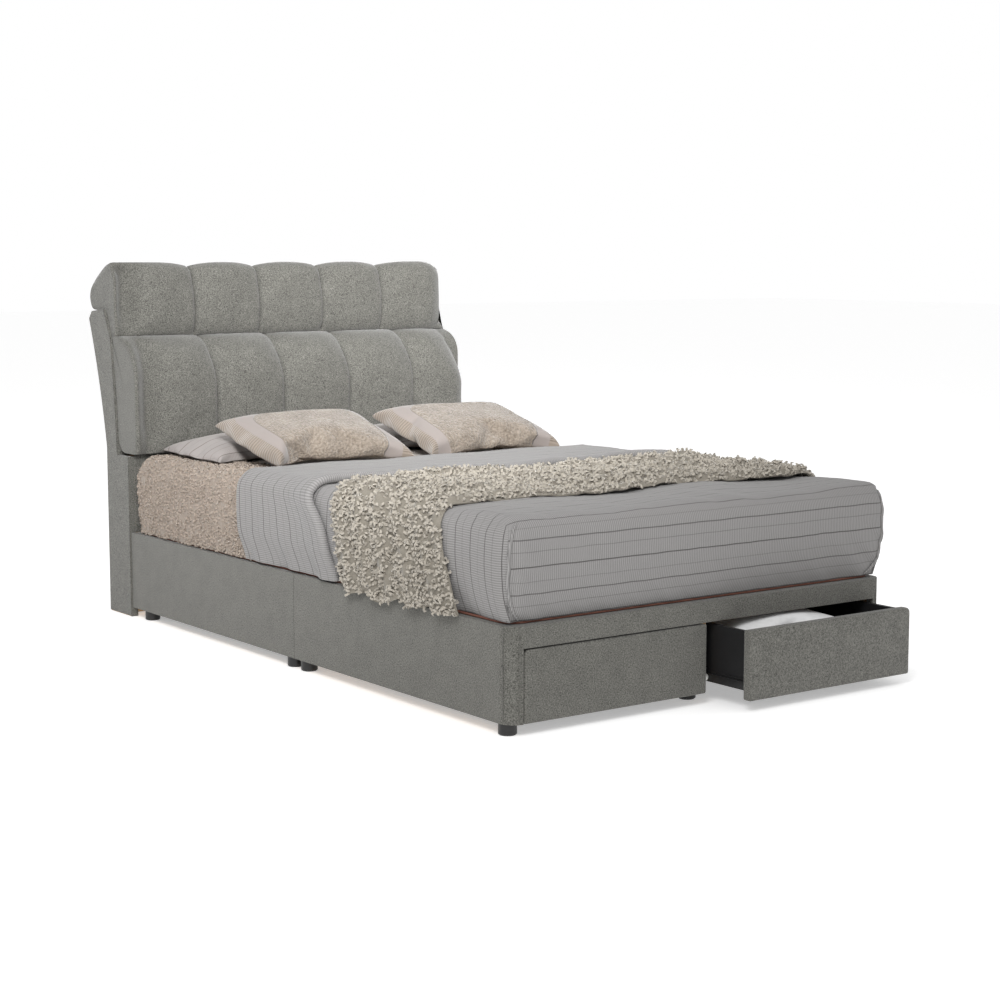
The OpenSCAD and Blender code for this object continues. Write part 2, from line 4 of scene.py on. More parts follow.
import bpy
import numpy as np
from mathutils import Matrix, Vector


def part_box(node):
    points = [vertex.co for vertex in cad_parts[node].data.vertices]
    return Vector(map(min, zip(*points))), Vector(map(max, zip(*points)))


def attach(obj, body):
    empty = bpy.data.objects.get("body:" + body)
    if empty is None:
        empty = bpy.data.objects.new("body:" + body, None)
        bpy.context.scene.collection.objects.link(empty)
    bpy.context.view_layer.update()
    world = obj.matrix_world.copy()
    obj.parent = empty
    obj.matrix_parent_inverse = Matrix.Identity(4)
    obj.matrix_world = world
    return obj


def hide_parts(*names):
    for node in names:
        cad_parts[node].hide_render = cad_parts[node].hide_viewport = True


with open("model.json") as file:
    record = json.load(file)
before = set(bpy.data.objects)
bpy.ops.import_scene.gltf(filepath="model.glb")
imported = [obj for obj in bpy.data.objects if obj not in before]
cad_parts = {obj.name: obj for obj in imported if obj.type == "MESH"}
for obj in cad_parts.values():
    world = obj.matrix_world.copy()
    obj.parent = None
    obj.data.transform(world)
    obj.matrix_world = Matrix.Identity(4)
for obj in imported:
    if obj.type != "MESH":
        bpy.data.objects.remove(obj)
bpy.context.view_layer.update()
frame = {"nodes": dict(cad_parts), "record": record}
nodes = frame["nodes"]


def deselectAll():
    bpy.ops.object.select_all(action="DESELECT")


def activate(obj):
    deselectAll()
    obj.select_set(True)
    bpy.context.view_layer.objects.active = obj


def readPoints(obj):
    points = np.empty(len(obj.data.vertices) * 3)
    obj.data.vertices.foreach_get("co", points)
    return points.reshape(-1, 3)


def writePoints(obj, points):
    obj.data.vertices.foreach_set("co", np.ascontiguousarray(points, float).ravel())
    obj.data.update()


def applyModifiers(obj):
    activate(obj)
    for modifier in list(obj.modifiers):
        bpy.ops.object.modifier_apply(modifier=modifier.name)


def addCube(name, low, high):
    deselectAll()
    low, high = Vector(low), Vector(high)
    bpy.ops.mesh.primitive_cube_add(size=1, location=(low + high) / 2, scale=high - low)
    obj = bpy.context.object
    obj.name = obj.data.name = name
    bpy.ops.object.transform_apply(location=True, rotation=True, scale=True)
    return obj


def addGrid(name, columns, rows):
    # a flat grid with its position in it as u and v, from 0 to 1
    deselectAll()
    bpy.ops.mesh.primitive_grid_add(x_subdivisions=columns, y_subdivisions=rows, size=1)
    obj = bpy.context.object
    obj.name = obj.data.name = name
    points = readPoints(obj)
    return obj, points[:, 0] + 0.5, points[:, 1] + 0.5


def asPoints(*parts):
    # columns side by side, where a single number fills its whole column
    return np.stack(np.broadcast_arrays(*parts), 1)


def editPicked(obj, kind, test, operator, **settings):
    # runs an edit mode operator on the edges or faces that pass the test
    activate(obj)
    bpy.ops.object.mode_set(mode="EDIT")
    bpy.ops.mesh.select_mode(type=kind)
    bpy.ops.mesh.select_all(action="DESELECT")
    bpy.ops.object.mode_set(mode="OBJECT")
    for item in obj.data.edges if kind == "EDGE" else obj.data.polygons:
        item.select = bool(test(item))
    bpy.ops.object.mode_set(mode="EDIT")
    operator(**settings)
    bpy.ops.object.mode_set(mode="OBJECT")


def subdivideAlong(obj, axis, cuts):
    # cuts every edge that runs along one axis into cuts + 1
    points = readPoints(obj)

    def runsAlong(edge):
        a, b = edge.vertices
        step = np.abs(points[a] - points[b])
        return step[axis] > 0.9 * step.sum()

    editPicked(obj, "EDGE", runsAlong, bpy.ops.mesh.subdivide, number_cuts=cuts)


def dropFaces(obj, test):
    # deletes the faces whose normal passes the test
    editPicked(obj, "FACE", lambda face: test(face.normal), bpy.ops.mesh.delete, type="FACE")


def weld(obj, gap=0.0001):
    activate(obj)
    bpy.ops.object.mode_set(mode="EDIT")
    bpy.ops.mesh.select_all(action="SELECT")
    bpy.ops.mesh.remove_doubles(threshold=gap)
    bpy.ops.mesh.normals_make_consistent(inside=False)
    bpy.ops.object.mode_set(mode="OBJECT")


def refine(obj):
    modifier = obj.modifiers.new("smooth", "SUBSURF")
    modifier.levels = modifier.render_levels = 1
    applyModifiers(obj)


def thicken(obj, depth, offset=-1.0):
    modifier = obj.modifiers.new("depth", "SOLIDIFY")
    modifier.thickness = depth
    modifier.offset = offset
    applyModifiers(obj)


def shadeSmooth(obj, angle=60):
    activate(obj)
    bpy.ops.object.shade_smooth_by_angle(angle=math.radians(angle))


def setUv(obj, uvPerPoint):
    layer = obj.data.uv_layers.active or obj.data.uv_layers.new(name="UVMap")
    loops = np.empty(len(obj.data.loops), int)
    obj.data.loops.foreach_get("vertex_index", loops)
    layer.data.foreach_set("uv", uvPerPoint[loops].astype(np.float32).ravel())


def waves(points, size, seed, octaves=3):
    # smooth repeatable noise of about -1 to 1, made of sines in random directions
    rng = np.random.default_rng(seed)
    total = np.zeros(len(points))
    weight = 0
    for octave in range(octaves):
        strength = 0.5 ** octave
        for _ in range(6):
            way = rng.normal(size=3)
            way /= np.linalg.norm(way)
            turn = points @ way * (2 * math.pi * 2 ** octave / size)
            total += strength * np.sin(turn + rng.uniform(0, 6.28))
        weight += strength * 2.4
    return total / weight


def smoothStep(value, start, end):
    t = np.clip((value - start) / (end - start), 0, 1)
    return t * t * (3 - 2 * t)


def joinInto(main, *others):
    deselectAll()
    for obj in others:
        obj.select_set(True)
    main.select_set(True)
    bpy.context.view_layer.objects.active = main
    bpy.ops.object.join()
    return main


def makeStrip(name, path, width, height, outward):
    # a soft flattened cord along a path
    path = np.array(path)
    obj, u, v = addGrid(name, len(path) - 1, 8)
    column = np.rint(u * (len(path) - 1)).astype(int)
    along = np.gradient(path, axis=0)
    along /= np.linalg.norm(along, axis=1)[:, None]
    outward = np.array(outward, float)
    out = outward[None] - along * (along @ outward)[:, None]
    out /= np.linalg.norm(out, axis=1)[:, None]
    across = np.cross(along, out)
    taper = np.sin(np.clip(column / (len(path) - 1), 0.012, 0.988) * math.pi) ** 0.25
    angle = v * 2 * math.pi
    sideways = across[column] * (np.cos(angle) * width / 2 * taper)[:, None]
    upwards = out[column] * (np.sin(angle) * height / 2 * taper)[:, None]
    writePoints(obj, path[column] + sideways + upwards)
    weld(obj, 0.00005)
    activate(obj)
    bpy.ops.object.mode_set(mode="EDIT")
    bpy.ops.mesh.select_all(action="DESELECT")
    bpy.ops.mesh.select_mode(type="EDGE")
    bpy.ops.mesh.select_non_manifold()
    bpy.ops.mesh.edge_face_add()
    bpy.ops.mesh.select_all(action="SELECT")
    bpy.ops.mesh.normals_make_consistent(inside=False)
    bpy.ops.object.mode_set(mode="OBJECT")
    return obj


def finishPiece(obj, body, slotName, material, *replaced):
    obj.data.materials.clear()
    obj.data.materials.append(material)
    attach(obj, body)
    if replaced:
        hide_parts(*replaced)
    return obj


def newGroup(name, inputs, outputs):
    group = bpy.data.node_groups.new(name, "ShaderNodeTree")
    for label, kind in inputs:
        group.interface.new_socket(label, in_out="INPUT", socket_type=kind)
    for label, kind in outputs:
        group.interface.new_socket(label, in_out="OUTPUT", socket_type=kind)
    return group, group.nodes.new("NodeGroupInput"), group.nodes.new("NodeGroupOutput")


def addMath(tree, operation, first, second=None, third=None):
    node = tree.nodes.new("ShaderNodeMath")
    node.operation = operation
    for socket, value in zip(node.inputs, (first, second, third)):
        if value is None:
            continue
        if isinstance(value, (int, float)):
            socket.default_value = value
        else:
            tree.links.new(value, socket)
    return node.outputs[0]


def setInputs(node, values):
    for label, value in values.items():
        node.inputs[label].default_value = value


def addNoise(tree, vector, scale, detail=3.0, roughness=0.6, distortion=0.0):
    node = tree.nodes.new("ShaderNodeTexNoise")
    setInputs(node, {"Scale": scale, "Detail": detail, "Roughness": roughness, "Distortion": distortion})
    tree.links.new(vector, node.inputs["Vector"])
    return node.outputs["Fac"]


def addRange(tree, value, low, high, outLow=0.0, outHigh=1.0):
    node = tree.nodes.new("ShaderNodeMapRange")
    setInputs(node, {"From Min": low, "From Max": high, "To Min": outLow, "To Max": outHigh})
    tree.links.new(value, node.inputs["Value"])
    return node.outputs["Result"]


def makeTweedGroup():
    # heathered yarn: fine flecks, a coarser mottle and a relief of small cells
    group, entry, leave = newGroup(
        "heatheredWeave",
        [("Vector", "NodeSocketVector")],
        [("Fleck", "NodeSocketFloat"), ("Mottle", "NodeSocketFloat"), ("Height", "NodeSocketFloat")],
    )
    vector = entry.outputs["Vector"]
    fine = addNoise(group, vector, 600, 2.0, 0.7)
    yarn = addNoise(group, vector, 290, 2.0, 0.5)
    soft = addNoise(group, vector, 26, 3.0, 0.5)
    cells = group.nodes.new("ShaderNodeTexVoronoi")
    cells.inputs["Scale"].default_value = 520
    group.links.new(vector, cells.inputs["Vector"])
    fineShare = addMath(group, "MULTIPLY", fine, 0.55)
    fleck = addMath(group, "ADD", fineShare, addMath(group, "MULTIPLY", yarn, 0.45))
    height = addMath(group, "SUBTRACT", fleck, addMath(group, "MULTIPLY", cells.outputs["Distance"], 0.6))
    group.links.new(addRange(group, fleck, 0.34, 0.66), leave.inputs["Fleck"])
    group.links.new(addRange(group, soft, 0.3, 0.7), leave.inputs["Mottle"])
    group.links.new(height, leave.inputs["Height"])
    return group


def makeStripeGroup():
    # puckered ribs across u, dark pin lines at set places along v
    group, entry, leave = newGroup(
        "puckeredStripe",
        [("Vector", "NodeSocketVector"), ("Rib", "NodeSocketFloat"), ("Repeat", "NodeSocketFloat")],
        [("Line", "NodeSocketFloat"), ("Rib", "NodeSocketFloat"), ("Height", "NodeSocketFloat")],
    )
    split = group.nodes.new("ShaderNodeSeparateXYZ")
    group.links.new(entry.outputs["Vector"], split.inputs[0])
    u, v = split.outputs["X"], split.outputs["Y"]
    wander = addNoise(group, entry.outputs["Vector"], 9, 2.0, 0.5)
    bent = addMath(group, "MULTIPLY_ADD", wander, 0.006, v)
    turns = addMath(group, "MULTIPLY", u, 2 * math.pi)
    ribs = addMath(group, "SINE", addMath(group, "DIVIDE", turns, entry.outputs["Rib"]))
    place = addMath(group, "DIVIDE", bent, entry.outputs["Repeat"])
    total = None
    pinLines = ((0.0, 0.011, 1.0), (0.27, 0.008, 0.35), (0.5, 0.011, 0.85), (0.72, 0.008, 0.45))
    for shift, width, strength in pinLines:
        shifted = addMath(group, "ADD", place, shift)
        near = addMath(group, "ABSOLUTE", addMath(group, "WRAP", shifted, 0.5, -0.5))
        line = addRange(group, near, width * 0.6, width * 1.5, strength, 0.0)
        total = line if total is None else addMath(group, "MAXIMUM", total, line)
    crumple = addNoise(group, entry.outputs["Vector"], 130, 2.0, 0.5)
    height = addMath(group, "MULTIPLY_ADD", crumple, 0.9, addMath(group, "MULTIPLY", ribs, 0.35))
    group.links.new(total, leave.inputs["Line"])
    group.links.new(addMath(group, "MULTIPLY_ADD", ribs, 0.5, 0.5), leave.inputs["Rib"])
    group.links.new(height, leave.inputs["Height"])
    return group


def makePileGroup():
    # curly pile: a fine noise for the curls over a wider, softer one
    group, entry, leave = newGroup(
        "curlyPile",
        [("Vector", "NodeSocketVector"), ("Size", "NodeSocketFloat")],
        [("Tone", "NodeSocketFloat"), ("Height", "NodeSocketFloat")],
    )
    scaled = group.nodes.new("ShaderNodeVectorMath")
    scaled.operation = "SCALE"
    group.links.new(entry.outputs["Vector"], scaled.inputs[0])
    group.links.new(entry.outputs["Size"], scaled.inputs["Scale"])
    curls = addNoise(group, scaled.outputs[0], 1.0, 2.0, 0.6, 0.3)
    soft = addNoise(group, scaled.outputs[0], 0.12, 2.0, 0.5)
    group.links.new(addRange(group, curls, 0.3, 0.7), leave.inputs["Height"])
    tone = addMath(group, "MULTIPLY_ADD", curls, 0.7, addMath(group, "MULTIPLY", soft, 0.3))
    group.links.new(addRange(group, tone, 0.3, 0.7), leave.inputs["Tone"])
    return group


def makeGrainGroup():
    # long grain for sawn wood
    group, entry, leave = newGroup(
        "sawnGrain",
        [("Vector", "NodeSocketVector")],
        [("Tone", "NodeSocketFloat"), ("Height", "NodeSocketFloat")],
    )
    stretch = group.nodes.new("ShaderNodeMapping")
    stretch.inputs["Scale"].default_value = (60, 6, 60)
    group.links.new(entry.outputs["Vector"], stretch.inputs["Vector"])
    rings = addNoise(group, stretch.outputs[0], 1.0, 4.0, 0.6, 1.2)
    pores = addNoise(group, stretch.outputs[0], 7.0, 2.0, 0.6)
    group.links.new(rings, leave.inputs["Tone"])
    group.links.new(pores, leave.inputs["Height"])
    return group


groups = {
    "tweed": makeTweedGroup(),
    "stripe": makeStripeGroup(),
    "pile": makePileGroup(),
    "grain": makeGrainGroup(),
}


def newMaterial(name, roughness=0.85, sheen=0.0, specular=0.25, sheenRoughness=0.5):
    material = bpy.data.materials.new(name)
    material.use_nodes = True
    shader = material.node_tree.nodes["Principled BSDF"]
    setInputs(shader, {"Roughness": roughness, "Specular IOR Level": specular})
    setInputs(shader, {"Sheen Weight": sheen, "Sheen Roughness": sheenRoughness})
    return material, material.node_tree, shader


def coordinates(tree, kind="Object"):
    node = tree.nodes.get("coordinates") or tree.nodes.new("ShaderNodeTexCoord")
    node.name = "coordinates"
    return node.outputs[kind]


def placeGroup(tree, key, vector, **values):
    node = tree.nodes.new("ShaderNodeGroup")
    node.node_tree = groups[key]
    tree.links.new(vector, node.inputs["Vector"])
    setInputs(node, values)
    return node.outputs


def addRamp(tree, value, stops):
    node = tree.nodes.new("ShaderNodeValToRGB")
    ramp = node.color_ramp
    while len(ramp.elements) < len(stops):
        ramp.elements.new(0.5)
    for element, (place, colour) in zip(ramp.elements, stops):
        element.position = place
        element.color = (*colour, 1)
    tree.links.new(value, node.inputs["Fac"])
    return node.outputs["Color"]


def addMix(tree, factor, first, second, mode="MIX"):
    node = tree.nodes.new("ShaderNodeMix")
    node.data_type = "RGBA"
    node.blend_type = mode
    for label, value in (("Factor", factor), ("A", first), ("B", second)):
        sockets = [s for s in node.inputs if s.name == label and s.enabled]
        if isinstance(value, (int, float)):
            sockets[0].default_value = value
        elif isinstance(value, tuple):
            sockets[0].default_value = (*value, 1)
        else:
            tree.links.new(value, sockets[0])
    return [s for s in node.outputs if s.enabled][0]


def feedShader(tree, shader, colour, rough, height, distance, strength):
    tree.links.new(colour, shader.inputs["Base Color"])
    tree.links.new(rough, shader.inputs["Roughness"])
    node = tree.nodes.new("ShaderNodeBump")
    setInputs(node, {"Distance": distance, "Strength": strength})
    tree.links.new(height, node.inputs["Height"])
    tree.links.new(node.outputs[0], shader.inputs["Normal"])


def makeTweed():
    material, tree, shader = newMaterial("greyTweed", 0.92, 0.25, 0.15)
    weave = placeGroup(tree, "tweed", coordinates(tree))
    yarn = addRamp(tree, weave["Fleck"], [
        (0.0, (0.012, 0.012, 0.010)), (0.34, (0.106, 0.104, 0.093)),
        (0.60, (0.152, 0.149, 0.134)), (1.0, (0.245, 0.240, 0.216))])
    shade = addRamp(tree, weave["Mottle"], [(0.0, (0.86, 0.86, 0.86)), (1.0, (1.0, 1.0, 1.0))])
    colour = addMix(tree, 1.0, yarn, shade, "MULTIPLY")
    rough = addRange(tree, weave["Fleck"], 0, 1, 0.97, 0.85)
    feedShader(tree, shader, colour, rough, weave["Height"], 0.0008, 0.5)
    return material


def makeStripedCotton(name, pale, dark, rib, repeat, lineColour):
    material, tree, shader = newMaterial(name, 0.8, 0.15, 0.3)
    cloth = placeGroup(tree, "stripe", coordinates(tree, "UV"), Rib=rib, Repeat=repeat)
    ground = addRamp(tree, cloth["Rib"], [(0.0, dark), (1.0, pale)])
    colour = addMix(tree, cloth["Line"], ground, lineColour)
    rough = addRange(tree, cloth["Rib"], 0, 1, 0.88, 0.76)
    feedShader(tree, shader, colour, rough, cloth["Height"], 0.0010, 0.6)
    return material


def makePile(name, size, dark, middle, pale, distance):
    material, tree, shader = newMaterial(name, 0.95, 0.35, 0.12, 0.4)
    stops = [(0.0, dark), (0.5, middle), (1.0, pale)]
    pile = placeGroup(tree, "pile", coordinates(tree), Size=size)
    colour = addRamp(tree, pile["Tone"], stops)
    rough = addRange(tree, pile["Tone"], 0, 1, 0.98, 0.88)
    feedShader(tree, shader, colour, rough, pile["Height"], distance, 0.8)
    return material


cushionCloth = {
    "width": 0.47, "depth": 0.36, "frontReach": 0.11, "corner": 0.10,
    "middle": (0.078, 0.081), "ribs": (0.040, 0.038), "ribPitch": 0.009, "tuftSize": 150.0,
    "tuft": [(0.0, (0.125, 0.10, 0.076)), (0.5, (0.235, 0.196, 0.158)), (1.0, (0.34, 0.293, 0.245))],
    "rib": [(0.0, (0.19, 0.157, 0.128)), (1.0, (0.27, 0.228, 0.19))],
    "band": (0.27, 0.238, 0.222),
}


def makeCushionWeave(cloth):
    # a tufted middle, a smooth pale band round it and a ribbed edge, all from the flat cloth's own place
    material, tree, shader = newMaterial("cushionWeave", 0.88, 0.3, 0.2)
    place = coordinates(tree, "UV")
    split = tree.nodes.new("ShaderNodeSeparateXYZ")
    tree.links.new(place, split.inputs[0])
    fromSide = addMath(tree, "SUBTRACT", cloth["width"] / 2, addMath(tree, "ABSOLUTE", split.outputs["X"]))
    toBack = addMath(tree, "SUBTRACT", cloth["depth"] / 2, split.outputs["Y"])
    toFront = addMath(tree, "ADD", cloth["depth"] / 2 + cloth["frontReach"], split.outputs["Y"])
    fromEnd = addMath(tree, "MINIMUM", toBack, toFront)
    edge = addMath(tree, "SMOOTH_MIN", fromSide, fromEnd, cloth["corner"])
    middle = addRange(tree, edge, *cloth["middle"])
    ribbed = addRange(tree, edge, *cloth["ribs"])
    pile = placeGroup(tree, "pile", coordinates(tree), Size=cloth["tuftSize"])
    tufted = addRamp(tree, pile["Tone"], cloth["tuft"])
    rib = addMath(tree, "SINE", addMath(tree, "MULTIPLY", split.outputs["Y"], 2 * math.pi / cloth["ribPitch"]))
    ribColour = addRamp(tree, addMath(tree, "MULTIPLY_ADD", rib, 0.5, 0.5), cloth["rib"])
    outer = addMix(tree, ribbed, cloth["band"], ribColour)
    lift = addMath(tree, "MULTIPLY", pile["Height"], middle)
    ribLift = addMath(tree, "MULTIPLY", rib, addMath(tree, "MULTIPLY", ribbed, 0.25))
    height = addMath(tree, "ADD", addMath(tree, "ADD", lift, ribLift), addMath(tree, "MULTIPLY", middle, 0.8))
    rough = addRange(tree, pile["Tone"], 0, 1, 0.95, 0.84)
    feedShader(tree, shader, addMix(tree, middle, outer, tufted), rough, height, 0.0035, 0.9)
    return material


def makePlain(name, colour, roughness, noiseScale, spread, specular=0.4, metallic=0.0, bump=0.0002):
    material, tree, shader = newMaterial(name, roughness, 0.0, specular)
    shader.inputs["Metallic"].default_value = metallic
    grain = addNoise(tree, coordinates(tree), noiseScale, 3.0, 0.6)
    low = tuple(c * (1 - spread) for c in colour)
    high = tuple(min(1.0, c * (1 + spread)) for c in colour)
    colour = addRamp(tree, grain, [(0.3, low), (0.7, high)])
    rough = addRange(tree, grain, 0.3, 0.7, roughness - 0.06, roughness + 0.06)
    feedShader(tree, shader, colour, rough, grain, bump, 0.5)
    return material


def makeTimber():
    material, tree, shader = newMaterial("sawnTimber", 0.7, 0.0, 0.3)
    grain = placeGroup(tree, "grain", coordinates(tree))
    colour = addRamp(tree, grain["Tone"], [
        (0.25, (0.36, 0.22, 0.11)), (0.5, (0.55, 0.38, 0.22)), (0.75, (0.66, 0.48, 0.30))])
    rough = addRange(tree, grain["Height"], 0.3, 0.7, 0.62, 0.8)
    feedShader(tree, shader, colour, rough, grain["Height"], 0.0004, 0.6)
    return material


looks = {
    "tweed": makeTweed(),
    "duvet": makeStripedCotton(
        "duvetCotton", (0.285, 0.276, 0.272), (0.18, 0.175, 0.172), 0.0056, 0.124, (0.075, 0.07, 0.068)),
    "pillow": makeStripedCotton(
        "pillowCotton", (0.36, 0.33, 0.315), (0.285, 0.26, 0.25), 0.005, 0.15, (0.15, 0.125, 0.115)),
    "cushion": makeCushionWeave(cushionCloth),
    "fleece": makePile(
        "creamFleece", 210.0, (0.33, 0.272, 0.225), (0.365, 0.306, 0.257), (0.40, 0.342, 0.292), 0.001),
    "throw": makePile(
        "throwYarn", 260.0, (0.36, 0.325, 0.275), (0.40, 0.368, 0.318), (0.44, 0.41, 0.36), 0.0005),
    # the throw's backing is darker than its yarn as painted shade in the gaps between the strands
    "throwShadeBacking": makePile(
        "throwPaintedShadeBacking", 260.0, (0.20, 0.18, 0.15), (0.225, 0.205, 0.172), (0.25, 0.23, 0.195), 0.0005),
    # the fleece backing is darker than its curls as painted shade at the roots between the strands
    "fleeceShadeBacking": makePile(
        "fleecePaintedShadeBacking", 210.0, (0.25, 0.205, 0.168), (0.285, 0.237, 0.197), (0.32, 0.27, 0.228), 0.0008),
    "quilt": makePlain("quiltCotton", (0.84, 0.84, 0.84), 0.8, 60, 0.04, 0.2, 0.0, 0.0006),
    "ticking": makePlain("mattressTicking", (0.72, 0.69, 0.64), 0.85, 300, 0.08, 0.2, 0.0, 0.0006),
    "welt": makePlain("mattressWelt", (0.17, 0.075, 0.055), 0.8, 400, 0.2, 0.2, 0.0, 0.0004),
    "board": makePlain("blackBoard", (0.012, 0.012, 0.013), 0.5, 220, 0.25, 0.35, 0.0, 0.0001),
    "steel": makePlain("coatedSteel", (0.016, 0.016, 0.017), 0.4, 150, 0.2, 0.5, 0.0, 0.0001),
    "nylon": makePlain("whiteNylon", (0.86, 0.86, 0.83), 0.42, 90, 0.03, 0.45, 0.0, 0.0001),
    "glide": makePlain("glidePlastic", (0.010, 0.010, 0.010), 0.35, 120, 0.25, 0.5, 0.0, 0.0001),
    "zinc": makePlain("zincSteel", (0.60, 0.61, 0.63), 0.35, 260, 0.1, 0.5, 0.9, 0.0001),
    "dustCloth": makePlain("dustCloth", (0.012, 0.012, 0.012), 0.95, 500, 0.4, 0.1, 0.0, 0.0005),
    "timber": makeTimber(),
}
print("materials ready")

slotLooks = {
    "timber": "timber", "tweed": "tweed", "black_board": "board", "runner_steel": "steel",
    "nylon": "nylon", "glide_plastic": "glide", "bolt_steel": "zinc", "dust_cloth": "dustCloth",
    "mattress_ticking": "ticking", "fleece": "fleece", "duvet_cotton": "duvet", "throw_pile": "throw",
    "pillow_cotton": "pillow", "cushion_weave": "cushion", "quilt_cotton": "quilt",
}
for part in frame["record"]["subparts"]:
    look = looks[slotLooks[part["material_slot"]]]
    cadMesh = nodes[part["node"]].data
    cadMesh.materials.clear()
    cadMesh.materials.append(look)


def roundLoop(corners, count, passes=3):
    # cuts a closed outline's corners, then spaces count points evenly round it
    loop = np.array(corners, float)
    for _ in range(passes):
        following = np.roll(loop, -1, axis=0)
        loop = np.stack([loop * 0.75 + following * 0.25, loop * 0.25 + following * 0.75], 1).reshape(-1, 2)
    closed = np.vstack([loop, loop[:1]])
    run = np.concatenate([[0], np.cumsum(np.linalg.norm(np.diff(closed, axis=0), axis=1))])
    stations = np.linspace(0, run[-1], count + 1)
    return np.stack([np.interp(stations, run, closed[:, k]) for k in (0, 1)], 1)


def channelStations(low, high, seams, perChannel, endSteps):
    # columns along the pad, closer together beside each seam
    stations = list(np.linspace(low, seams[0], endSteps, endpoint=False))
    for start, end in zip(seams[:-1], seams[1:]):
        t = np.linspace(0, 1, perChannel, endpoint=False)
        eased = 0.45 * t + 0.55 * (0.5 - 0.5 * np.cos(math.pi * t))
        stations += list(start + (end - start) * eased)
    stations += list(np.linspace(seams[-1], high, endSteps + 1))
    return np.array(stations)


sewing = {
    "grooveWidth": 0.0036, "pucker": 0.0010, "puckerPitch": 0.029, "puckerReach": 0.014, "wrinkle": 0.0022,
    "capScales": [0.0, 0.3, 0.6, 0.88],
}


def makeChannelPad(name, pad, *replaced):
    loop = roundLoop(pad["outline"], pad["round"])
    seams = np.array(pad["seams"])
    stations = channelStations(pad["left"], pad["right"], pad["seams"], pad["perChannel"], pad["endSteps"])
    capScales = sewing["capScales"]  # each end is closed by rings that shrink to its middle
    caps = len(capScales)
    x = np.concatenate([[pad["left"]] * caps, stations, [pad["right"]] * caps])
    capScale = np.concatenate([capScales, np.ones(len(stations)), capScales[::-1]])
    obj, u, v = addGrid(name, len(x) - 1, pad["round"])
    column = np.rint(u * (len(x) - 1)).astype(int)
    row = np.rint(v * pad["round"]).astype(int)
    px, y, z = x[column], loop[row, 0], loop[row, 1]
    step = np.roll(loop[:-1], -1, axis=0) - np.roll(loop[:-1], 1, axis=0)
    side = np.stack([step[:, 1], -step[:, 0]], 1)
    side /= np.linalg.norm(side, axis=1)[:, None]
    middle = loop[:-1].mean(0)
    side *= 1 if ((loop[:-1] - middle) * side).sum() > 0 else -1
    side = np.vstack([side, side[:1]])[row]
    front = np.clip(np.maximum(-side[:, 0] * 1.4, side[:, 1] * 1.2), 0, 1)
    spine = np.clip(z, loop[:, 1].min() + pad["spine"], loop[:, 1].max() - pad["spine"])
    toSpine = np.stack([middle[0] - y, spine - z], 1)
    reach = np.linalg.norm(toSpine, axis=1)
    toSpine /= reach[:, None]
    toSpine = toSpine * (1 - pad["pull"]) + np.array([pad["pull"], 0])
    # each channel is crowned between its seams, more so over the top shoulder
    shoulder = 1 + pad["shoulder"] * smoothStep(z, *pad["shoulderZ"])
    ends = np.concatenate([[pad["left"]], seams, [pad["right"]]])
    inset = np.zeros(len(px))
    for index, (start, end) in enumerate(zip(ends[:-1], ends[1:])):
        inside = (px >= start) & (px <= end)
        s = 2 * (px[inside] - start) / (end - start) - 1
        if index == 0:
            s = np.maximum(s, 0)
        if index == len(ends) - 2:
            s = np.minimum(s, 0)
        inset[inside] = pad["crown"] * np.abs(s) ** 2.4
    inset *= shoulder
    gap = np.min(np.abs(px[:, None] - seams[None, :]), axis=1)
    inset += pad["groove"] * np.exp(-(gap / sewing["grooveWidth"]) ** 1.1)
    # the fabric puckers where the stitches pull it
    pucker = np.sin(2 * math.pi * (z + y) / sewing["puckerPitch"] + 4 * waves(asPoints(px, y, z), 0.2, 5))
    inset += sewing["pucker"] * pucker * np.exp(-gap / sewing["puckerReach"])
    # a soft hollow runs down the front beside the left end panel
    facing = np.clip(-side[:, 0] * 1.5, 0, 1)
    facingBack = (side[:, 0] > 0.6) & (pad["pull"] > 0.9)
    inset *= front
    besideEnd = np.exp(-((px - pad["hollowX"]) / pad["hollowWidth"]) ** 2)
    inset += pad["hollow"] * besideEnd * facing * smoothStep(z, *pad["hollowZ"])
    endRound = pad["endRound"] + pad["endRise"] * smoothStep(z, *pad["endRiseZ"])
    leftRound = np.full(len(px), pad["leftRound"])
    for end, radius, way, least in ((pad["left"], leftRound, -1, 0.4), (pad["right"], endRound, 1, 0.12)):
        into = np.clip(((px - end) * way + radius) / radius, 0, 1)
        inset += radius * (1 - np.sqrt(np.clip(1 - into ** 2, 0, 1))) * np.maximum(front, least)
    inset = np.minimum(inset, reach * 0.9)
    points = asPoints(px, y, z)
    points[:, 1:] += toSpine * (inset * np.where(facingBack, 0, 1))[:, None]
    points[:, 1] += sewing["wrinkle"] * waves(points, 0.17, 11) * front
    centre = asPoints(px, middle[0], middle[1])
    points = centre + (points - centre) * capScale[column][:, None]
    points[:, 0] = px
    writePoints(obj, points)
    weld(obj, 0.0001)
    shadeSmooth(obj, 80)
    return finishPiece(obj, "bed", "tweed", looks["tweed"], *replaced)


footY = -1.0100185  # where the base's foot face stands


def fromFoot(points):
    return [(y / 1000 + footY, z / 1000) for y, z in points]


roll = {
    "outline": fromFoot([
        (2030, 911), (2009, 834), (1990, 829), (1966, 838), (1955, 876), (1953, 930), (1954, 985),
        (1961, 1028), (1985, 1053), (2022, 1057), (2066, 1037), (2112, 1006), (2146, 978), (2156, 952),
        (2144, 919), (2122, 911)]),
    "left": -0.598, "right": 0.598, "seams": [-0.336, -0.110, 0.118, 0.342],
    "perChannel": 54, "endSteps": 54, "round": 132, "spine": 0.09, "crown": 0.013, "groove": 0.014,
    "shoulder": 1.0, "shoulderZ": (0.93, 1.02), "pull": 0.5,
    "hollow": 0.058, "hollowX": -0.560, "hollowWidth": 0.040, "hollowZ": (0.80, 0.90), "leftRound": 0.010,
    "endRound": 0.095, "endRise": 0.0, "endRiseZ": (0.9, 1.0), "fill": 0.85,
}
makeChannelPad("headboardRoll", roll, "headboard_roll")
print("roll padded")

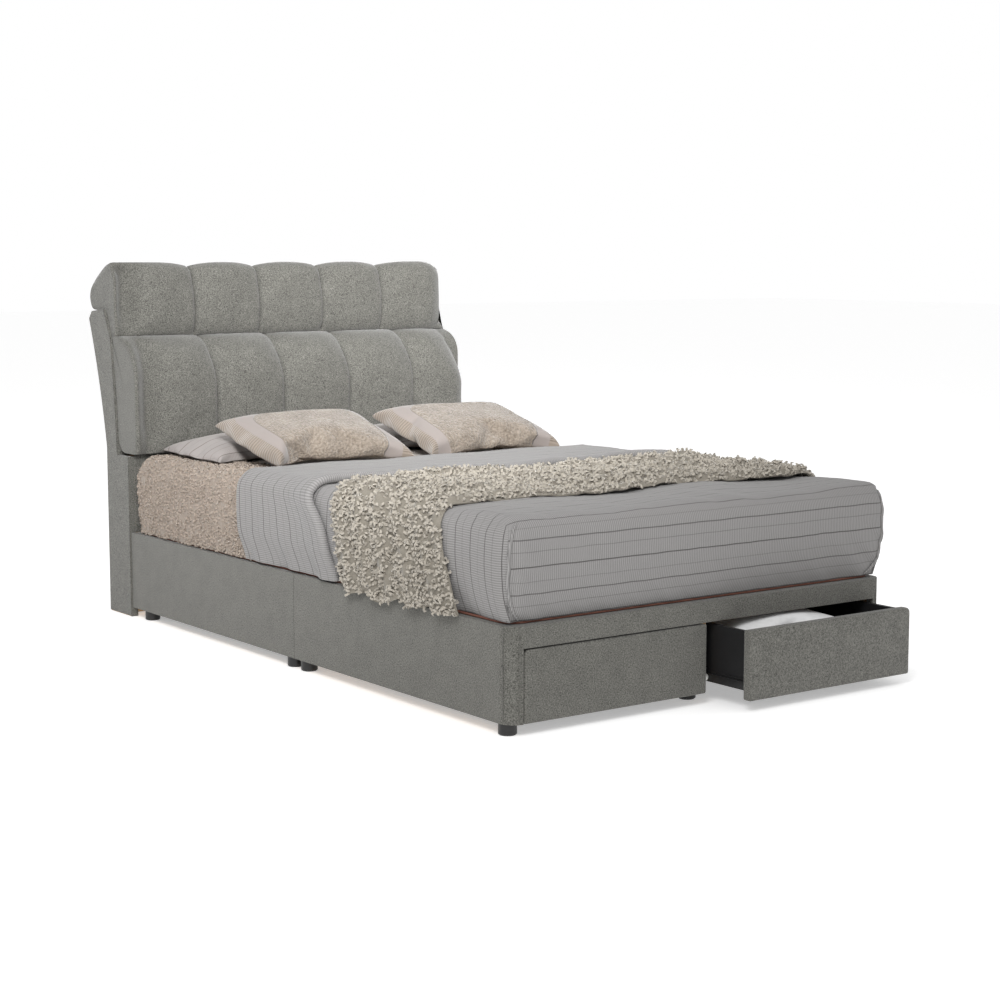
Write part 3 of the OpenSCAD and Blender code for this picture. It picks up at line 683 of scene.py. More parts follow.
backCushion = {
    "outline": fromFoot([
        (1971, 492), (1880, 489), (1849, 492), (1840, 515), (1839, 600), (1838, 690), (1843, 745), (1864, 792),
        (1903, 823), (1950, 836), (1990, 836), (2006, 826), (1998, 780), (1985, 700), (1975, 600)]),
    "left": -0.600, "right": 0.598, "seams": [-0.324, -0.090, 0.147, 0.387],
    "perChannel": 54, "endSteps": 54, "round": 132, "spine": 0.075, "crown": 0.015, "groove": 0.014,
    "shoulder": 2.4, "shoulderZ": (0.68, 0.82), "pull": 1.0,
    "hollow": 0.050, "hollowX": -0.548, "hollowWidth": 0.036, "hollowZ": (0.40, 0.60), "leftRound": 0.010,
    "endRound": 0.072, "endRise": 0.09, "endRiseZ": (0.65, 0.80), "fill": 0.8,
}
makeChannelPad("headboardCushion", backCushion, "headboard_cushion")
print("back cushion padded")


def makeFacing(name, node, way, rise, depth):
    # a cloth on the faces of one board that look one way
    obj = bpy.data.objects.new(name, nodes[node].data.copy())
    obj.matrix_world = nodes[node].matrix_world.copy()
    bpy.context.scene.collection.objects.link(obj)
    activate(obj)
    bpy.ops.object.transform_apply(location=True, rotation=True, scale=True)
    way = Vector(way)
    dropFaces(obj, lambda normal: normal.dot(way) < 0.4)
    writePoints(obj, readPoints(obj) + np.array(way) * rise)
    thicken(obj, depth, -1)
    return finishPiece(obj, "bed", "tweed", looks["tweed"])


casingEdge = {"outer": 0.606, "middle": 0.595, "inner": 0.583, "rise": 0.0016, "depth": 0.0012}
for side in ("left", "right"):
    facing = makeFacing(
        "casingEdge." + side, "headboard_cheek_" + side, (0, -1, 0), casingEdge["rise"], casingEdge["depth"])
    points = readPoints(facing)
    isOuter = np.abs(points[:, 0]) > casingEdge["middle"]
    points[:, 0] = np.copysign(np.where(isOuter, casingEdge["outer"], casingEdge["inner"]), points[:, 0])
    writePoints(facing, points)
makeFacing("backerCloth", "headboard_backer", (0, -1, 0), 0.0012, 0.0010)
makeFacing("deckClothHead", "head_deck_board", (0, 0, 1), 0.0004, 0.0003)
makeFacing("deckClothFoot", "foot_deck_board", (0, 0, 1), 0.0004, 0.0003)

panel = {"low": (-0.586, 0.8886, 0.2545), "high": (0.586, 0.8899, 0.4870), "cuts": {0: 30, 2: 8}}
panelCloth = addCube("panelCloth", panel["low"], panel["high"])
for axis, count in panel["cuts"].items():
    subdivideAlong(panelCloth, axis, count)
finishPiece(panelCloth, "bed", "tweed", looks["tweed"])
print("edges wrapped")


drawerFront = {"topOuterCorner": 0.013, "corner": 0.005, "edge": 0.0035}


def makeDrawerFront(name, node, body):
    low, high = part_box(node)
    obj = addCube(name, low, high)
    outer = -1 if low.x < 0 else 1
    touching = 1e-5

    def isTopOuter(edge):
        # None unless the edge runs front to back at a corner of the outline
        a, b = (obj.data.vertices[i].co for i in edge.vertices)
        if abs(a.y - b.y) < 0.01 or abs(a.x - b.x) > touching or abs(a.z - b.z) > touching:
            return None
        besideX = min(abs(a.x - low.x), abs(a.x - high.x)) < touching
        besideZ = min(abs(a.z - low.z), abs(a.z - high.z)) < touching
        if not (besideX and besideZ):
            return None
        return a.z > (low.z + high.z) / 2 and (a.x - (low.x + high.x) / 2) * outer > 0

    # the top outer corner is rounder than the others, and the rim is eased last
    for wanted, radius in ((True, drawerFront["topOuterCorner"]), (False, drawerFront["corner"])):
        editPicked(
            obj, "EDGE", lambda edge: isTopOuter(edge) is wanted,
            bpy.ops.mesh.bevel, offset=radius, segments=5, affect="EDGES")
    modifier = obj.modifiers.new("edge", "BEVEL")
    modifier.width = drawerFront["edge"]
    modifier.segments = 4
    modifier.limit_method = "ANGLE"
    modifier.angle_limit = math.radians(50)
    applyModifiers(obj)
    shadeSmooth(obj, 50)
    return finishPiece(obj, body, "tweed", looks["tweed"], node)


makeDrawerFront("leftDrawerFront", "left_front_cover", "left_drawer")
makeDrawerFront("rightDrawerFront", "right_front_cover", "right_drawer")
print("drawer fronts covered")


def makeSeams(name, lines, width, height):
    # fine welts of cloth, each a line with the way it faces
    strips = []
    for start, end, facing in lines:
        path = np.linspace(start, end, 40)
        path += 0.0002 * waves(path, 0.08, 17)[:, None]
        strips.append(makeStrip(name, path, width, height, facing))
    obj = joinInto(strips[0], *strips[1:])
    shadeSmooth(obj, 80)
    return finishPiece(obj, "bed", "tweed", looks["tweed"])


seamPlan = {
    "low": 0.030, "high": 0.2515, "width": 0.0026, "height": 0.0022,
    "side": (0.6003, -0.9820), "foot": (0.5720, -1.0105),
}
baseSeams = []
for way in (-1, 1):
    for face, facing in (("side", (way, 0, 0)), ("foot", (0, -1, 0))):
        x, y = seamPlan[face]
        baseSeams.append(((way * x, y, seamPlan["low"]), (way * x, y, seamPlan["high"]), facing))
makeSeams("baseSeams", baseSeams, seamPlan["width"], seamPlan["height"])
print("base seams sewn")


def boxShell(name, low, high, cuts, openSides):
    # a box with some sides left off, cut into small cells; its cloth place goes into the UV map
    obj = addCube(name, low, high)
    away = {"bottom": (0, 0, -1), "head": (0, 1, 0), "foot": (0, -1, 0)}
    for side in openSides:
        dropFaces(obj, lambda normal: normal.dot(Vector(away[side])) > 0.9)
    for axis, count in enumerate(cuts):
        subdivideAlong(obj, axis, count)
    layer = obj.data.uv_layers.active
    points = readPoints(obj)
    for face in obj.data.polygons:
        for loopIndex in face.loop_indices:
            x, y, z = points[obj.data.loops[loopIndex].vertex_index]
            drop = high[2] - z
            if abs(face.normal.z) > 0.5:
                place = (x, y)
            elif abs(face.normal.x) > 0.5:
                place = (math.copysign(high[0] + drop, x), y)
            else:
                place = (x, low[1] - drop) if face.normal.y < 0 else (x, high[1] + drop)
            layer.data[loopIndex].uv = place
    return obj, points


def roundBox(points, low, high, radius, openSides):
    inner = np.array([np.array(low) + radius, np.array(high) - radius])
    inner[0, 2] = -9
    if "head" in openSides:
        inner[1, 1] = 9
    if "foot" in openSides:
        inner[0, 1] = -9
    near = np.clip(points, inner[0], inner[1])
    away = points - near
    length = np.linalg.norm(away, axis=1)
    scale = np.where(length > 1e-9, radius / np.maximum(length, 1e-9), 1)
    return near + away * scale[:, None]


def wallShares(points, low, high):
    onX = smoothStep(np.abs(points[:, 0]), high[0] - 0.012, high[0] - 0.001)
    onFoot = smoothStep(-points[:, 1], -low[1] - 0.012, -low[1] - 0.001)
    return onX, onFoot


duvet = {
    "half": 0.607, "top": 0.4965, "bottom": 0.2605, "foot": -1.0085, "head": 0.190, "cells": (120, 120, 26),
    "corner": 0.042, "tuck": 0.022, "bulge": 0.007, "fold": 0.0065, "crease": 0.0042, "swell": 0.004,
    "rumple": 0.0030, "thick": 0.004,
}


def makeDuvet():
    low = (-duvet["half"], duvet["foot"], duvet["bottom"])
    high = (duvet["half"], duvet["head"], duvet["top"])
    obj, flat = boxShell("duvetCloth", low, high, duvet["cells"], ("bottom", "head"))
    onX, onFoot = wallShares(flat, low, high)
    points = roundBox(flat, low, high, duvet["corner"], ("head",))
    t = np.clip((points[:, 2] - low[2]) / (high[2] - low[2]), 0, 1)
    out = duvet["bulge"] * np.sin(math.pi * np.clip(t * 1.1, 0, 1)) - duvet["tuck"] * (1 - t) ** 4
    points[:, 0] += np.sign(points[:, 0]) * out * onX
    points[:, 1] -= out * onFoot
    # the sides hang in soft upright folds, the foot is pulled tighter and creases at its lower corners
    folds = waves(flat * [0.3, 1, 0.25], 0.15, 21, 2) * (0.35 + 0.65 * (1 - t))
    points[:, 0] += np.sign(points[:, 0]) * duvet["fold"] * folds * onX * smoothStep(t, 1.0, 0.8)
    corner = smoothStep(np.abs(flat[:, 0]), 0.30, 0.60)
    crease = waves(flat @ np.array([[1, 0, 0.3], [0, 1, 0], [1.2, 0, 0.6]]), 0.075, 31, 2)
    creased = onFoot * (0.22 + 0.78 * corner * (1 - t) ** 0.7) * smoothStep(t, 1.0, 0.75)
    points[:, 1] -= duvet["crease"] * crease * creased
    top = 1 - np.maximum(onX, onFoot)
    rumple = duvet["rumple"] * waves(flat * [1, 0.5, 1], 0.14, 42, 3)
    points[:, 2] += top * (duvet["swell"] * waves(flat, 0.5, 41, 2) + rumple)
    writePoints(obj, points)
    thicken(obj, duvet["thick"])
    shadeSmooth(obj, 70)
    return obj


def acrossPath(s, half, top, bottom, corner):
    # a path up one side, over the top and down the other: place, outward way and cloth run from the middle
    wall = top - corner - bottom
    arc = math.pi / 2 * corner
    flat = 2 * (half - corner)
    total = 2 * wall + 2 * arc + flat
    run = s * total
    fromEnd = np.minimum(run, total - run)
    side = np.where(run < total / 2, -1.0, 1.0)
    turn = np.clip((fromEnd - wall) / corner, 0, math.pi / 2)
    x = half - corner + corner * np.cos(turn)
    z = np.where(fromEnd < wall, bottom + fromEnd, top - corner + corner * np.sin(turn))
    onTop = fromEnd > wall + arc
    x = np.where(onTop, half - corner - (fromEnd - wall - arc), x)
    return side * x, z, side * np.cos(turn), np.sin(turn), run - total / 2


fold = {
    "half": 0.612, "top": 0.5045, "bottom": 0.2615, "corner": 0.05, "free": -0.222, "head": 0.203,
    "roll": 0.009, "lip": 0.12, "curl": 0.09, "curlSize": 0.012, "edgeRoll": 0.019, "tuck": 0.020,
    "bulge": 0.006, "sway": 0.016, "thick": 0.003,
}


def makeTurnDown():
    # the duvet's head end folded back over itself, with a round fold and a loose free edge
    obj, u, v = addGrid("turnDown", 200, 90)
    lip, curl = fold["lip"], fold["curl"]
    angle = np.clip((v - (1 - lip)) / lip, 0, 1) * math.pi
    flatLength = fold["head"] - fold["roll"] - fold["free"]
    curlUnder = np.clip((curl - v) / curl, 0, 1) * math.pi * 1.1
    y = fold["free"] + flatLength * np.clip((v - curl) / (1 - lip - curl), 0, 1) + fold["roll"] * np.sin(angle)
    y -= fold["curlSize"] * np.sin(curlUnder)
    under = fold["roll"] * (1 - np.cos(angle)) + fold["curlSize"] * (1 - np.cos(curlUnder))
    x, z, nx, nz, across = acrossPath(u, fold["half"], fold["top"], fold["bottom"], fold["corner"])
    drop = np.clip((fold["top"] - z) / (fold["top"] - fold["bottom"]), 0, 1)
    points = asPoints(x, y, z)
    wavy = waves(asPoints(x * 0.4, y, z * 0.3), 0.13, 51, 2)
    points[:, 2] += 0.014 * smoothStep(v, 1 - lip * 0.7, 1 - lip * 0.3) * smoothStep(drop, 0.9, 1.0)
    lift = 0.003 + 0.0045 * wavy * (0.4 + 0.9 * drop) * smoothStep(drop, 0.0, 0.35)
    lift = lift + 0.002 * waves(points, 0.3, 52)
    # the free edge stands up in a soft roll
    edgeRoll = fold["edgeRoll"] * np.exp(-((np.maximum(v, 0.12) - 0.12) / 0.10) ** 2)
    lift += edgeRoll * (0.75 + 0.25 * smoothStep(drop, 0.0, 0.3))
    tuck = -fold["tuck"] * smoothStep(drop, 0.62, 1.02) + fold["bulge"] * np.sin(math.pi * drop)
    out = lift - under + np.where(np.abs(nz) < 0.5, tuck, 0)
    points[:, 0] += nx * out
    points[:, 2] += nz * out
    # the free edge wanders, and swings towards the foot lower down the side
    wander = fold["sway"] * waves(asPoints(across, 0, 0), 0.5, 53, 2)
    sway = wander - 0.03 * drop + 0.05 * np.exp(-((drop - 0.12) / 0.2) ** 2)
    points[:, 1] += sway * (1 - v) ** 1.5
    writePoints(obj, points)
    setUv(obj, asPoints(across, y))
    thicken(obj, fold["thick"])
    shadeSmooth(obj, 70)
    return obj


def spline(corners, count):
    # a smooth open path through the corners
    corners = np.array(corners, float)
    for _ in range(3):
        early = corners[:-1] * 0.75 + corners[1:] * 0.25
        late = corners[:-1] * 0.25 + corners[1:] * 0.75
        middle = np.stack([early, late], 1)
        corners = np.vstack([corners[:1], middle.reshape(-1, corners.shape[1]), corners[-1:]])
    run = np.concatenate([[0], np.cumsum(np.linalg.norm(np.diff(corners, axis=0), axis=1))])
    stations = np.linspace(0, run[-1], count)
    return np.stack([np.interp(stations, run, corners[:, k]) for k in range(corners.shape[1])], 1)


mitre = {
    "width": 0.0075, "height": 0.0060, "rise": 0.0030, "stripePlace": 0.018,
    "left": [
        (-0.570, 0.488), (-0.588, 0.470), (-0.597, 0.432), (-0.602, 0.376), (-0.600, 0.342),
        (-0.592, 0.308), (-0.578, 0.280), (-0.562, 0.264)],
    "right": [(0.583, 0.480), (0.594, 0.440), (0.590, 0.389), (0.584, 0.325), (0.570, 0.285), (0.544, 0.266)],
}


def makeMitre(name, base, corners):
    # the folded edge of the mitred corner, lying on the foot face
    path = []
    for x, z in spline(corners, 60):
        hit, place, _, _ = base.ray_cast(Vector((x, -2, z)), Vector((0, 1, 0)))
        if hit:
            path.append((place.x, place.y - mitre["rise"], place.z))
    strip = makeStrip(name, path, mitre["width"], mitre["height"], (0, -1, 0))
    setUv(strip, asPoints(readPoints(strip)[:, 0], mitre["stripePlace"]))  # plain cloth between two pin lines
    return strip


duvetBody = makeDuvet()
mitreLeft = makeMitre("mitreLeft", duvetBody, mitre["left"])
mitreRight = makeMitre("mitreRight", duvetBody, mitre["right"])
duvetPiece = joinInto(duvetBody, makeTurnDown(), mitreLeft, mitreRight)
finishPiece(duvetPiece, "bed", "duvet_cotton", looks["duvet"], "duvet")
print("duvet laid")

sheet = {
    "half": 0.5945, "top": 0.484, "bottom": 0.2590, "foot": 0.12, "head": 0.873, "cells": (150, 110, 30),
    "corner": 0.055, "bulge": 0.007, "tuck": 0.005, "rumple": 0.0022, "thick": 0.004,
}


def makeSheet():
    low = (-sheet["half"], sheet["foot"], sheet["bottom"])
    high = (sheet["half"], sheet["head"], sheet["top"])
    obj, flat = boxShell("fleeceSheet", low, high, sheet["cells"], ("bottom", "foot"))
    onX, _ = wallShares(flat, low, high)
    points = roundBox(flat, low, high, sheet["corner"], ("foot",))
    t = np.clip((points[:, 2] - low[2]) / (high[2] - low[2]), 0, 1)
    out = sheet["bulge"] * np.sin(math.pi * t) - sheet["tuck"] * (1 - t) ** 4
    points[:, 0] += np.sign(points[:, 0]) * out * onX
    outward = asPoints(np.sign(points[:, 0]) * onX, 0, 1 - onX)
    points += sheet["rumple"] * waves(points, 0.045, 61, 3)[:, None] * outward
    writePoints(obj, points)
    thicken(obj, sheet["thick"])
    shadeSmooth(obj, 70)
    return obj


def surfaceSpots(obj, count, seed, keep):
    # random spots on a piece's outside, spread by area
    mesh = obj.data
    mesh.calc_loop_triangles()
    corners = np.empty(len(mesh.loop_triangles) * 3, int)
    mesh.loop_triangles.foreach_get("vertices", corners)
    triangles = readPoints(obj)[corners.reshape(-1, 3)]
    normals = np.cross(triangles[:, 1] - triangles[:, 0], triangles[:, 2] - triangles[:, 0])
    area = np.linalg.norm(normals, axis=1)
    normals /= np.maximum(area, 1e-12)[:, None]
    area = area * keep(triangles.mean(1), normals)
    rng = np.random.default_rng(seed)
    chosen = rng.choice(len(area), count, p=area / area.sum())
    a, b = rng.random(count), rng.random(count)
    flip = a + b > 1
    a[flip], b[flip] = 1 - a[flip], 1 - b[flip]
    corner = triangles[chosen]
    spots = corner[:, 0] + a[:, None] * (corner[:, 1] - corner[:, 0])
    spots = spots + b[:, None] * (corner[:, 2] - corner[:, 0])
    return spots, normals[chosen], rng


def makePileOn(name, base, pile, keep):
    # short curled strands of yarn, three-sided, standing on a cloth
    spots, normals, rng = surfaceSpots(base, pile["count"], pile["seed"], keep)
    count = len(spots)
    lean = rng.normal(size=(count, 3)) * pile["lean"] + np.array([0, 0, -pile["droop"]])
    up = normals + lean
    up /= np.linalg.norm(up, axis=1)[:, None]
    sideways = np.cross(up, rng.normal(size=(count, 3)))
    sideways /= np.linalg.norm(sideways, axis=1)[:, None]
    other = np.cross(up, sideways)
    length = pile["length"] * rng.uniform(0.7, 1.25, count)
    curl = pile["curl"] * rng.uniform(0.6, 1.3, count)
    rings = pile["rings"]
    points = np.empty((count, rings, 3, 3))
    spin = rng.uniform(0, 6.28, count)
    for ring in range(rings):
        t = ring / (rings - 1)
        turn = spin + t * pile["turns"] * 2 * math.pi
        centre = spots + up * (length * math.sin(t * math.pi * 0.62))[:, None] - up * 0.001
        swing = curl * (0.3 + t)
        centre += sideways * (swing * np.cos(turn))[:, None] + other * (swing * np.sin(turn))[:, None]
        radius = pile["radius"] * (0.5 if ring == rings - 1 else 1.0)
        for corner in range(3):
            angle = spin + corner * 2 * math.pi / 3
            offset = sideways * (radius * np.cos(angle))[:, None] + other * (radius * np.sin(angle))[:, None]
            points[:, ring, corner] = centre + offset
    strand = []
    for ring in range(rings - 1):
        for corner in range(3):
            a, b = ring * 3 + corner, ring * 3 + (corner + 1) % 3
            strand.append((a, b, b + 3, a + 3))
    quads = (np.arange(count)[:, None, None] * rings * 3 + np.array(strand)[None]).reshape(-1, 4)
    starts = np.arange(count) * rings * 3
    tips = (rings - 1) * 3 + np.array([0, 1, 2])
    caps = np.concatenate([starts[:, None] + [2, 1, 0], starts[:, None] + tips])
    mesh = bpy.data.meshes.new(name)
    mesh.from_pydata(points.reshape(-1, 3).tolist(), [], quads.tolist() + caps.tolist())
    obj = bpy.data.objects.new(name, mesh)
    bpy.context.scene.collection.objects.link(obj)
    weld(obj, 0.0)
    shadeSmooth(obj, 80)
    return obj


# the sheet's cloth takes the darker backing, painted shade between the curls
sheetPiece = finishPiece(makeSheet(), "bed", "fleece", looks["fleeceShadeBacking"], "fleece_sheet")
sheetPile = {
    "count": 9400, "seed": 71, "lean": 0.6, "droop": 0.2, "length": 0.0060, "curl": 0.0022, "radius": 0.0026,
    "turns": 0.7, "rings": 4,
}


def showsOnSheet(centres, normals):
    # on the sides and the edges of the top, as the rest of the top is under the pillows
    onSide = np.abs(normals[:, 0]) > 0.3
    outside = (normals[:, 2] > 0.3) | onSide
    outward = np.where(onSide, normals[:, 0] * np.sign(centres[:, 0]) > 0, normals[:, 2] > 0)
    inView = (centres[:, 1] > 0.17) & (centres[:, 1] < 0.87)
    edgeOfTop = (np.abs(centres[:, 0]) > 0.40) | (normals[:, 2] < 0.7)
    return (outside & outward & inView & edgeOfTop).astype(float)


sheetCurls = makePileOn("fleecePile", sheetPiece, sheetPile, showsOnSheet)
finishPiece(sheetCurls, "bed", "fleece", looks["fleece"])
print("fleece sheet fitted")

throw = {
    "half": 0.611, "top": 0.5005, "bottom": 0.252, "corner": 0.055, "foot": -0.745, "head": -0.275,
    "pleats": 5.4, "rise": 0.027, "least": 0.002, "rumple": 0.003, "bulge": 0.007, "hem": 0.012, "thick": 0.004,
}


def makeThrow():
    obj, u, v = addGrid("throwCloth", 150, 96)
    x, z, nx, nz, across = acrossPath(u, throw["half"], throw["top"], throw["bottom"], throw["corner"])
    drop = np.clip((throw["top"] - z) / (throw["top"] - throw["bottom"]), 0, 1)
    line = asPoints(across, 0, 0)
    # the pleats wander and change depth along the throw
    phase = throw["pleats"] * v + 0.35 * waves(line, 0.7, 81, 2)
    phase = phase + 0.12 * waves(asPoints(across, v * 0.3, 0), 0.25, 82, 2)
    ridge = 1 - np.abs(np.sin(math.pi * phase)) ** 1.5
    height = 0.003 + throw["rise"] * ridge * (0.75 + 0.35 * waves(asPoints(across, v, 0), 0.5, 83, 2))
    height *= smoothStep(v, -0.02, 0.05) * smoothStep(v, 1.02, 0.95)
    height += throw["rumple"] * waves(asPoints(x, v, z), 0.08, 84, 2)
    height *= 1 - 0.35 * np.abs(nx)
    height = np.maximum(height, throw["least"])
    spread = 1 + 0.06 * drop
    middle = (throw["foot"] + throw["head"]) / 2 + 0.03 * waves(line, 0.9, 85, 2)
    middle = middle + 0.05 * drop * np.sign(across)
    y = middle + (v - 0.5) * (throw["head"] - throw["foot"]) * spread
    height += throw["bulge"] * np.sin(math.pi * drop) * np.abs(nx)
    points = asPoints(x + nx * height, y, z + nz * height)
    points[:, 2] += throw["hem"] * waves(asPoints(v, 0, 0), 0.22, 86, 2) * smoothStep(drop, 0.8, 1.0)
    writePoints(obj, points)
    setUv(obj, asPoints(across, v * 0.9))
    thicken(obj, throw["thick"])
    shadeSmooth(obj, 70)
    return obj


# the throw's cloth takes the darker backing, painted shade between the strands
throwPiece = finishPiece(makeThrow(), "bed", "throw_pile", looks["throwShadeBacking"], "throw")
throwPile = {
    "count": 9400, "seed": 91, "lean": 0.55, "droop": 0.2, "length": 0.0110, "curl": 0.0030, "radius": 0.0034,
    "turns": 0.7, "rings": 4,
}


def showsOnThrow(centres, normals):
    out = np.where(np.abs(normals[:, 0]) > 0.5, normals[:, 0] * np.sign(centres[:, 0]), normals[:, 2])
    return (out > 0.15).astype(float)


throwCurls = makePileOn("throwPile", throwPiece, throwPile, showsOnThrow)
finishPiece(throwCurls, "bed", "throw_pile", looks["throw"])
print("throw laid")


def inflate(obj, pressure, frames=18):
    # blows the cloth up with air pressure, without gravity
    activate(obj)
    modifier = obj.modifiers.new("air", "CLOTH")
    settings = modifier.settings
    settings.quality = 6
    settings.mass = 0.3
    settings.tension_stiffness = settings.compression_stiffness = 18
    settings.shear_stiffness = 6
    settings.bending_stiffness = 0.4
    settings.air_damping = 1.5
    settings.use_pressure = True
    settings.uniform_pressure_force = pressure
    settings.effector_weights.gravity = 0
    modifier.point_cache.frame_start = 1
    modifier.point_cache.frame_end = frames
    for step in range(1, frames + 1):
        bpy.context.scene.frame_set(step)
    bpy.ops.object.modifier_apply(modifier=modifier.name)
    bpy.context.scene.frame_set(1)


def makePillow(name, pillow):
    width, depth = pillow["size"]
    obj, u, v = addGrid(name, pillow["cells"][0], pillow["cells"][1])
    x, y = (u - 0.5) * width, (v - 0.5) * depth
    # the edges are cut a little hollow, as a sewn case draws in between its corners
    draw = pillow["draw"]
    x *= 1 - draw * np.cos(math.pi * (v - 0.5)) ** 2 * np.abs(2 * u - 1) ** 2
    y *= 1 - draw * np.cos(math.pi * (u - 0.5)) ** 2 * np.abs(2 * v - 1) ** 2
    writePoints(obj, asPoints(x, y, 0.0006 * waves(asPoints(x, y, 0), 0.09, pillow["seed"])))
    setUv(obj, asPoints((u - 0.5) * width, (v - 0.5) * depth))
    thicken(obj, pillow["start"], 0)
    inflate(obj, pillow["pressure"])
    modifier = obj.modifiers.new("even", "SMOOTH")
    modifier.iterations = pillow["even"]
    modifier.factor = 0.5
    applyModifiers(obj)
    points = readPoints(obj)
    points -= (points.max(0) + points.min(0)) / 2
    points *= np.array([width, depth, 2]) / (points.max(0) - points.min(0))
    points[:, 2] = np.sign(points[:, 2]) * np.abs(points[:, 2]) ** pillow["full"]
    # fuller above the seam than below it, where its weight flattens it
    points[:, 2] *= np.where(points[:, 2] > 0, pillow["up"], pillow["down"])
    tilt = math.radians(pillow["tilt"])
    lean = np.array([[1, 0, 0], [0, math.cos(tilt), -math.sin(tilt)], [0, math.sin(tilt), math.cos(tilt)]])
    points = points @ lean.T
    points += np.array(pillow["centre"])
    writePoints(obj, points)
    refine(obj)
    shadeSmooth(obj, 80)
    return obj


pillowLeft = {
    "size": (0.530, 0.36), "up": 0.062, "down": 0.010, "full": 0.85, "cells": (46, 36), "draw": -0.05,
    "seed": 3, "start": 0.008, "pressure": 4.0, "even": 6, "tilt": 1, "centre": (-0.265, 0.652, 0.497),
    "fill": 0.6,
}
pillowRight = dict(pillowLeft, seed=4, centre=(0.265, 0.652, 0.497))
pillowPieces = [makePillow("pillowLeft", pillowLeft), makePillow("pillowRight", pillowRight)]
for piece in pillowPieces:
    finishPiece(piece, "bed", "pillow_cotton", looks["pillow"], "pillows")

leftPad = {
    "size": (cushionCloth["width"], cushionCloth["depth"]), "up": 0.074, "down": 0.028, "full": 0.72,
    "cells": (46, 36), "draw": -0.05, "seed": 7, "start": 0.008, "pressure": 4.5, "even": 7, "tilt": 15,
    "centre": (-0.250, 0.410, 0.545), "fill": 0.7,
}
rightPad = dict(leftPad, seed=8, centre=(0.280, 0.410, 0.545))
for name, pad, node in (("leftCushion", leftPad, "left_cushion"), ("rightCushion", rightPad, "right_cushion")):
    finishPiece(makePillow(name, pad), "bed", "cushion_weave", looks["cushion"], node)

quilt = {
    "size": (0.445, 0.495), "up": 0.072, "down": 0.065, "full": 0.9, "cells": (36, 40), "draw": 0.01,
    "seed": 9, "start": 0.05, "pressure": 3.0, "even": 5, "tilt": 0, "centre": (0.2545, -0.866, 0.126),
    "fill": 0.5,
}
finishPiece(makePillow("drawerQuilt", quilt), "right_drawer", "quilt_cotton", looks["quilt"], "drawer_quilt")
print("pillows, cushions and quilt filled")


mattress = {"round": 0.045, "weltInset": 0.006, "weltCorner": 0.04, "weltRadius": 0.0032, "weltRise": 0.0036}


def makeMattress():
    low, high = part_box("mattress")
    obj = addCube("mattressBody", low + Vector((0.008, 0.008, 0)), high - Vector((0.008, 0.004, 0.004)))
    modifier = obj.modifiers.new("round", "BEVEL")
    modifier.width = mattress["round"]
    modifier.segments = 6
    applyModifiers(obj)
    shadeSmooth(obj, 50)
    return obj


def makeWelt():
    # the piping sewn round the mattress's lower edge
    low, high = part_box("mattress")
    inset, corner, radius = mattress["weltInset"], mattress["weltCorner"], mattress["weltRadius"]
    halfX, lowY, highY = high.x - inset, low.y + inset, high.y - inset
    path = []
    for cx, cy, start in ((halfX - corner, highY - corner, 0), (-halfX + corner, highY - corner, 90),
                          (-halfX + corner, lowY + corner, 180), (halfX - corner, lowY + corner, 270)):
        for step in range(9):
            angle = math.radians(start + step * 90 / 8)
            rise = low.z + mattress["weltRise"]
            path.append((cx + corner * math.cos(angle), cy + corner * math.sin(angle), rise))
    path = np.array(path + path[:1])
    obj, u, v = addGrid("mattressWelt", len(path) - 1, 8)
    column = np.rint(u * (len(path) - 1)).astype(int)
    along = np.roll(path, -1, 0) - path
    along[-1] = along[0]
    out = asPoints(along[:, 1], -along[:, 0], 0)
    out /= np.linalg.norm(out, axis=1)[:, None]
    angle = v * 2 * math.pi
    points = path[column] + out[column] * (radius * np.cos(angle))[:, None]
    points[:, 2] += radius * np.sin(angle)
    writePoints(obj, points)
    weld(obj, 0.00005)
    shadeSmooth(obj, 80)
    return obj


finishPiece(makeMattress(), "bed", "mattress_ticking", looks["ticking"], "mattress")
finishPiece(makeWelt(), "bed", "mattress_ticking", looks["welt"])
print("mattress ready")


studio = {"floorTone": 0.97, "floorGlow": 0.38, "worldLight": 0.62, "backdrop": 1.0}
lamps = (  # name, place, aim, size, energy, spread
    ("keyLight", (-3.6, -3.5, 4.2), (0, 0, 0.4), 2.2, 138, 180),
    ("topLight", (0.3, 0.6, 4.5), (0, 0, 0.4), 2.6, 26, 180),
    ("headLight", (-2.1, -2.6, 2.1), (0.55, 0.95, 0.85), 0.7, 15, 40),
)


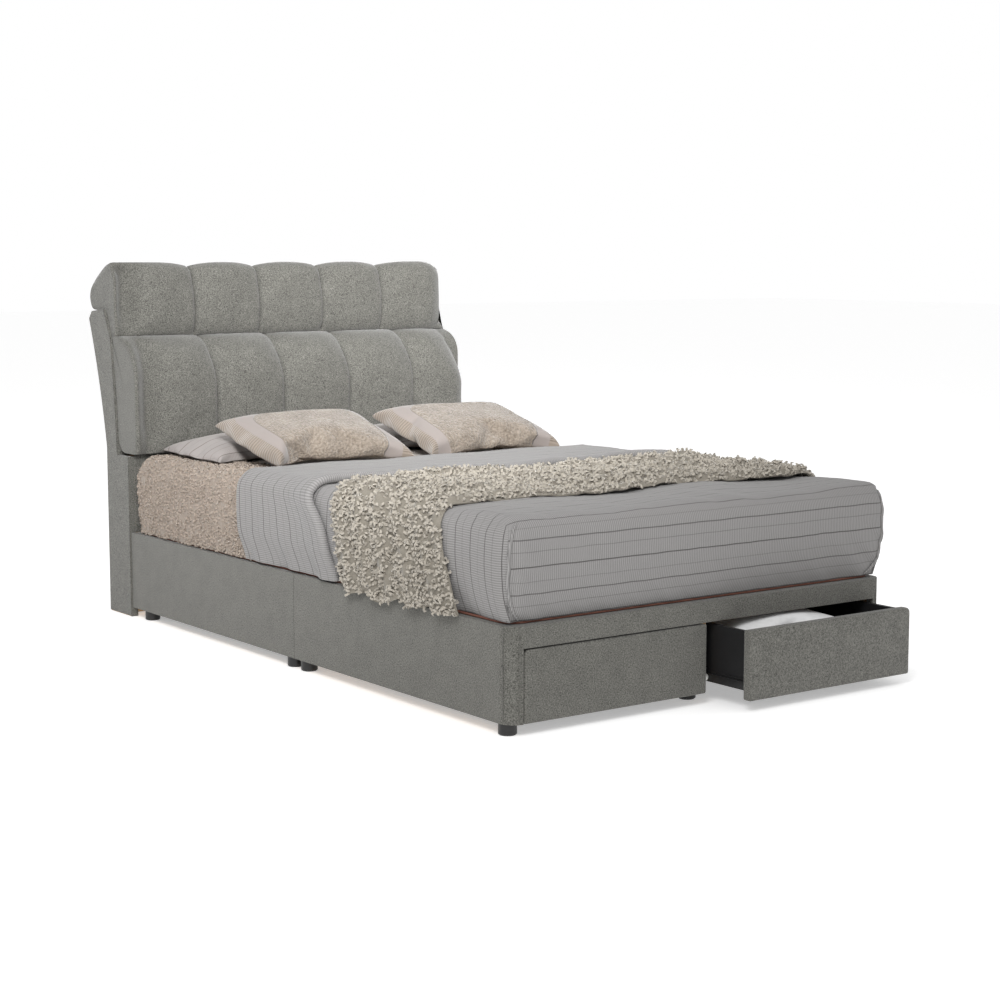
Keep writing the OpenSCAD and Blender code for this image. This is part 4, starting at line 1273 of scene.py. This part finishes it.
def makeFloor():
    deselectAll()
    bpy.ops.mesh.primitive_plane_add(size=60, location=(0, 0, 0))
    floor = bpy.context.object
    floor.name = "floor"
    material, tree, shader = newMaterial("paleFloor", 0.9, 0.0, 0.1)
    tone = studio["floorTone"]
    setInputs(shader, {"Base Color": (tone, tone, tone, 1), "Emission Color": (1, 1, 1, 1)})
    setInputs(shader, {"Emission Strength": studio["floorGlow"]})
    floor.data.materials.append(material)


def makeWorld():
    # soft light all round, and a white backdrop that only the camera sees
    world = bpy.data.worlds.new("studio")
    world.use_nodes = True
    tree = world.node_tree
    background = tree.nodes["Background"]
    setInputs(background, {"Color": (1, 1, 1, 1), "Strength": studio["worldLight"]})
    seen = tree.nodes.new("ShaderNodeBackground")
    setInputs(seen, {"Color": (1, 1, 1, 1), "Strength": studio["backdrop"]})
    mix = tree.nodes.new("ShaderNodeMixShader")
    ray = tree.nodes.new("ShaderNodeLightPath")
    tree.links.new(ray.outputs["Is Camera Ray"], mix.inputs[0])
    tree.links.new(background.outputs[0], mix.inputs[1])
    tree.links.new(seen.outputs[0], mix.inputs[2])
    tree.links.new(mix.outputs[0], tree.nodes["World Output"].inputs["Surface"])
    bpy.context.scene.world = world


def makeLamps():
    for name, place, aim, size, energy, spread in lamps:
        light = bpy.data.lights.new(name, "AREA")
        light.size = size
        light.energy = energy
        light.spread = math.radians(spread)
        lamp = bpy.data.objects.new(name, light)
        lamp.location = place
        lamp.rotation_euler = (Vector(aim) - Vector(place)).to_track_quat("-Z", "Y").to_euler()
        bpy.context.scene.collection.objects.link(lamp)


cameraSetup = {
    "place": (-3.2236, -4.5537, 1.0877), "pitch": 6.8865, "yaw": 36.2262, "lens": 72.3, "shiftY": -0.006,
}


def makeCamera():
    data = bpy.data.cameras.new("camera")
    data.lens = cameraSetup["lens"]
    data.sensor_width = 36
    data.shift_y = cameraSetup["shiftY"]
    camera = bpy.data.objects.new("camera", data)
    camera.location = cameraSetup["place"]
    camera.rotation_euler = (math.radians(90 - cameraSetup["pitch"]), 0, math.radians(-cameraSetup["yaw"]))
    bpy.context.scene.collection.objects.link(camera)
    bpy.context.scene.camera = camera


makeFloor()
makeWorld()
makeLamps()
makeCamera()
bpy.context.scene.view_settings.view_transform = "Standard"
print("stage and camera ready")
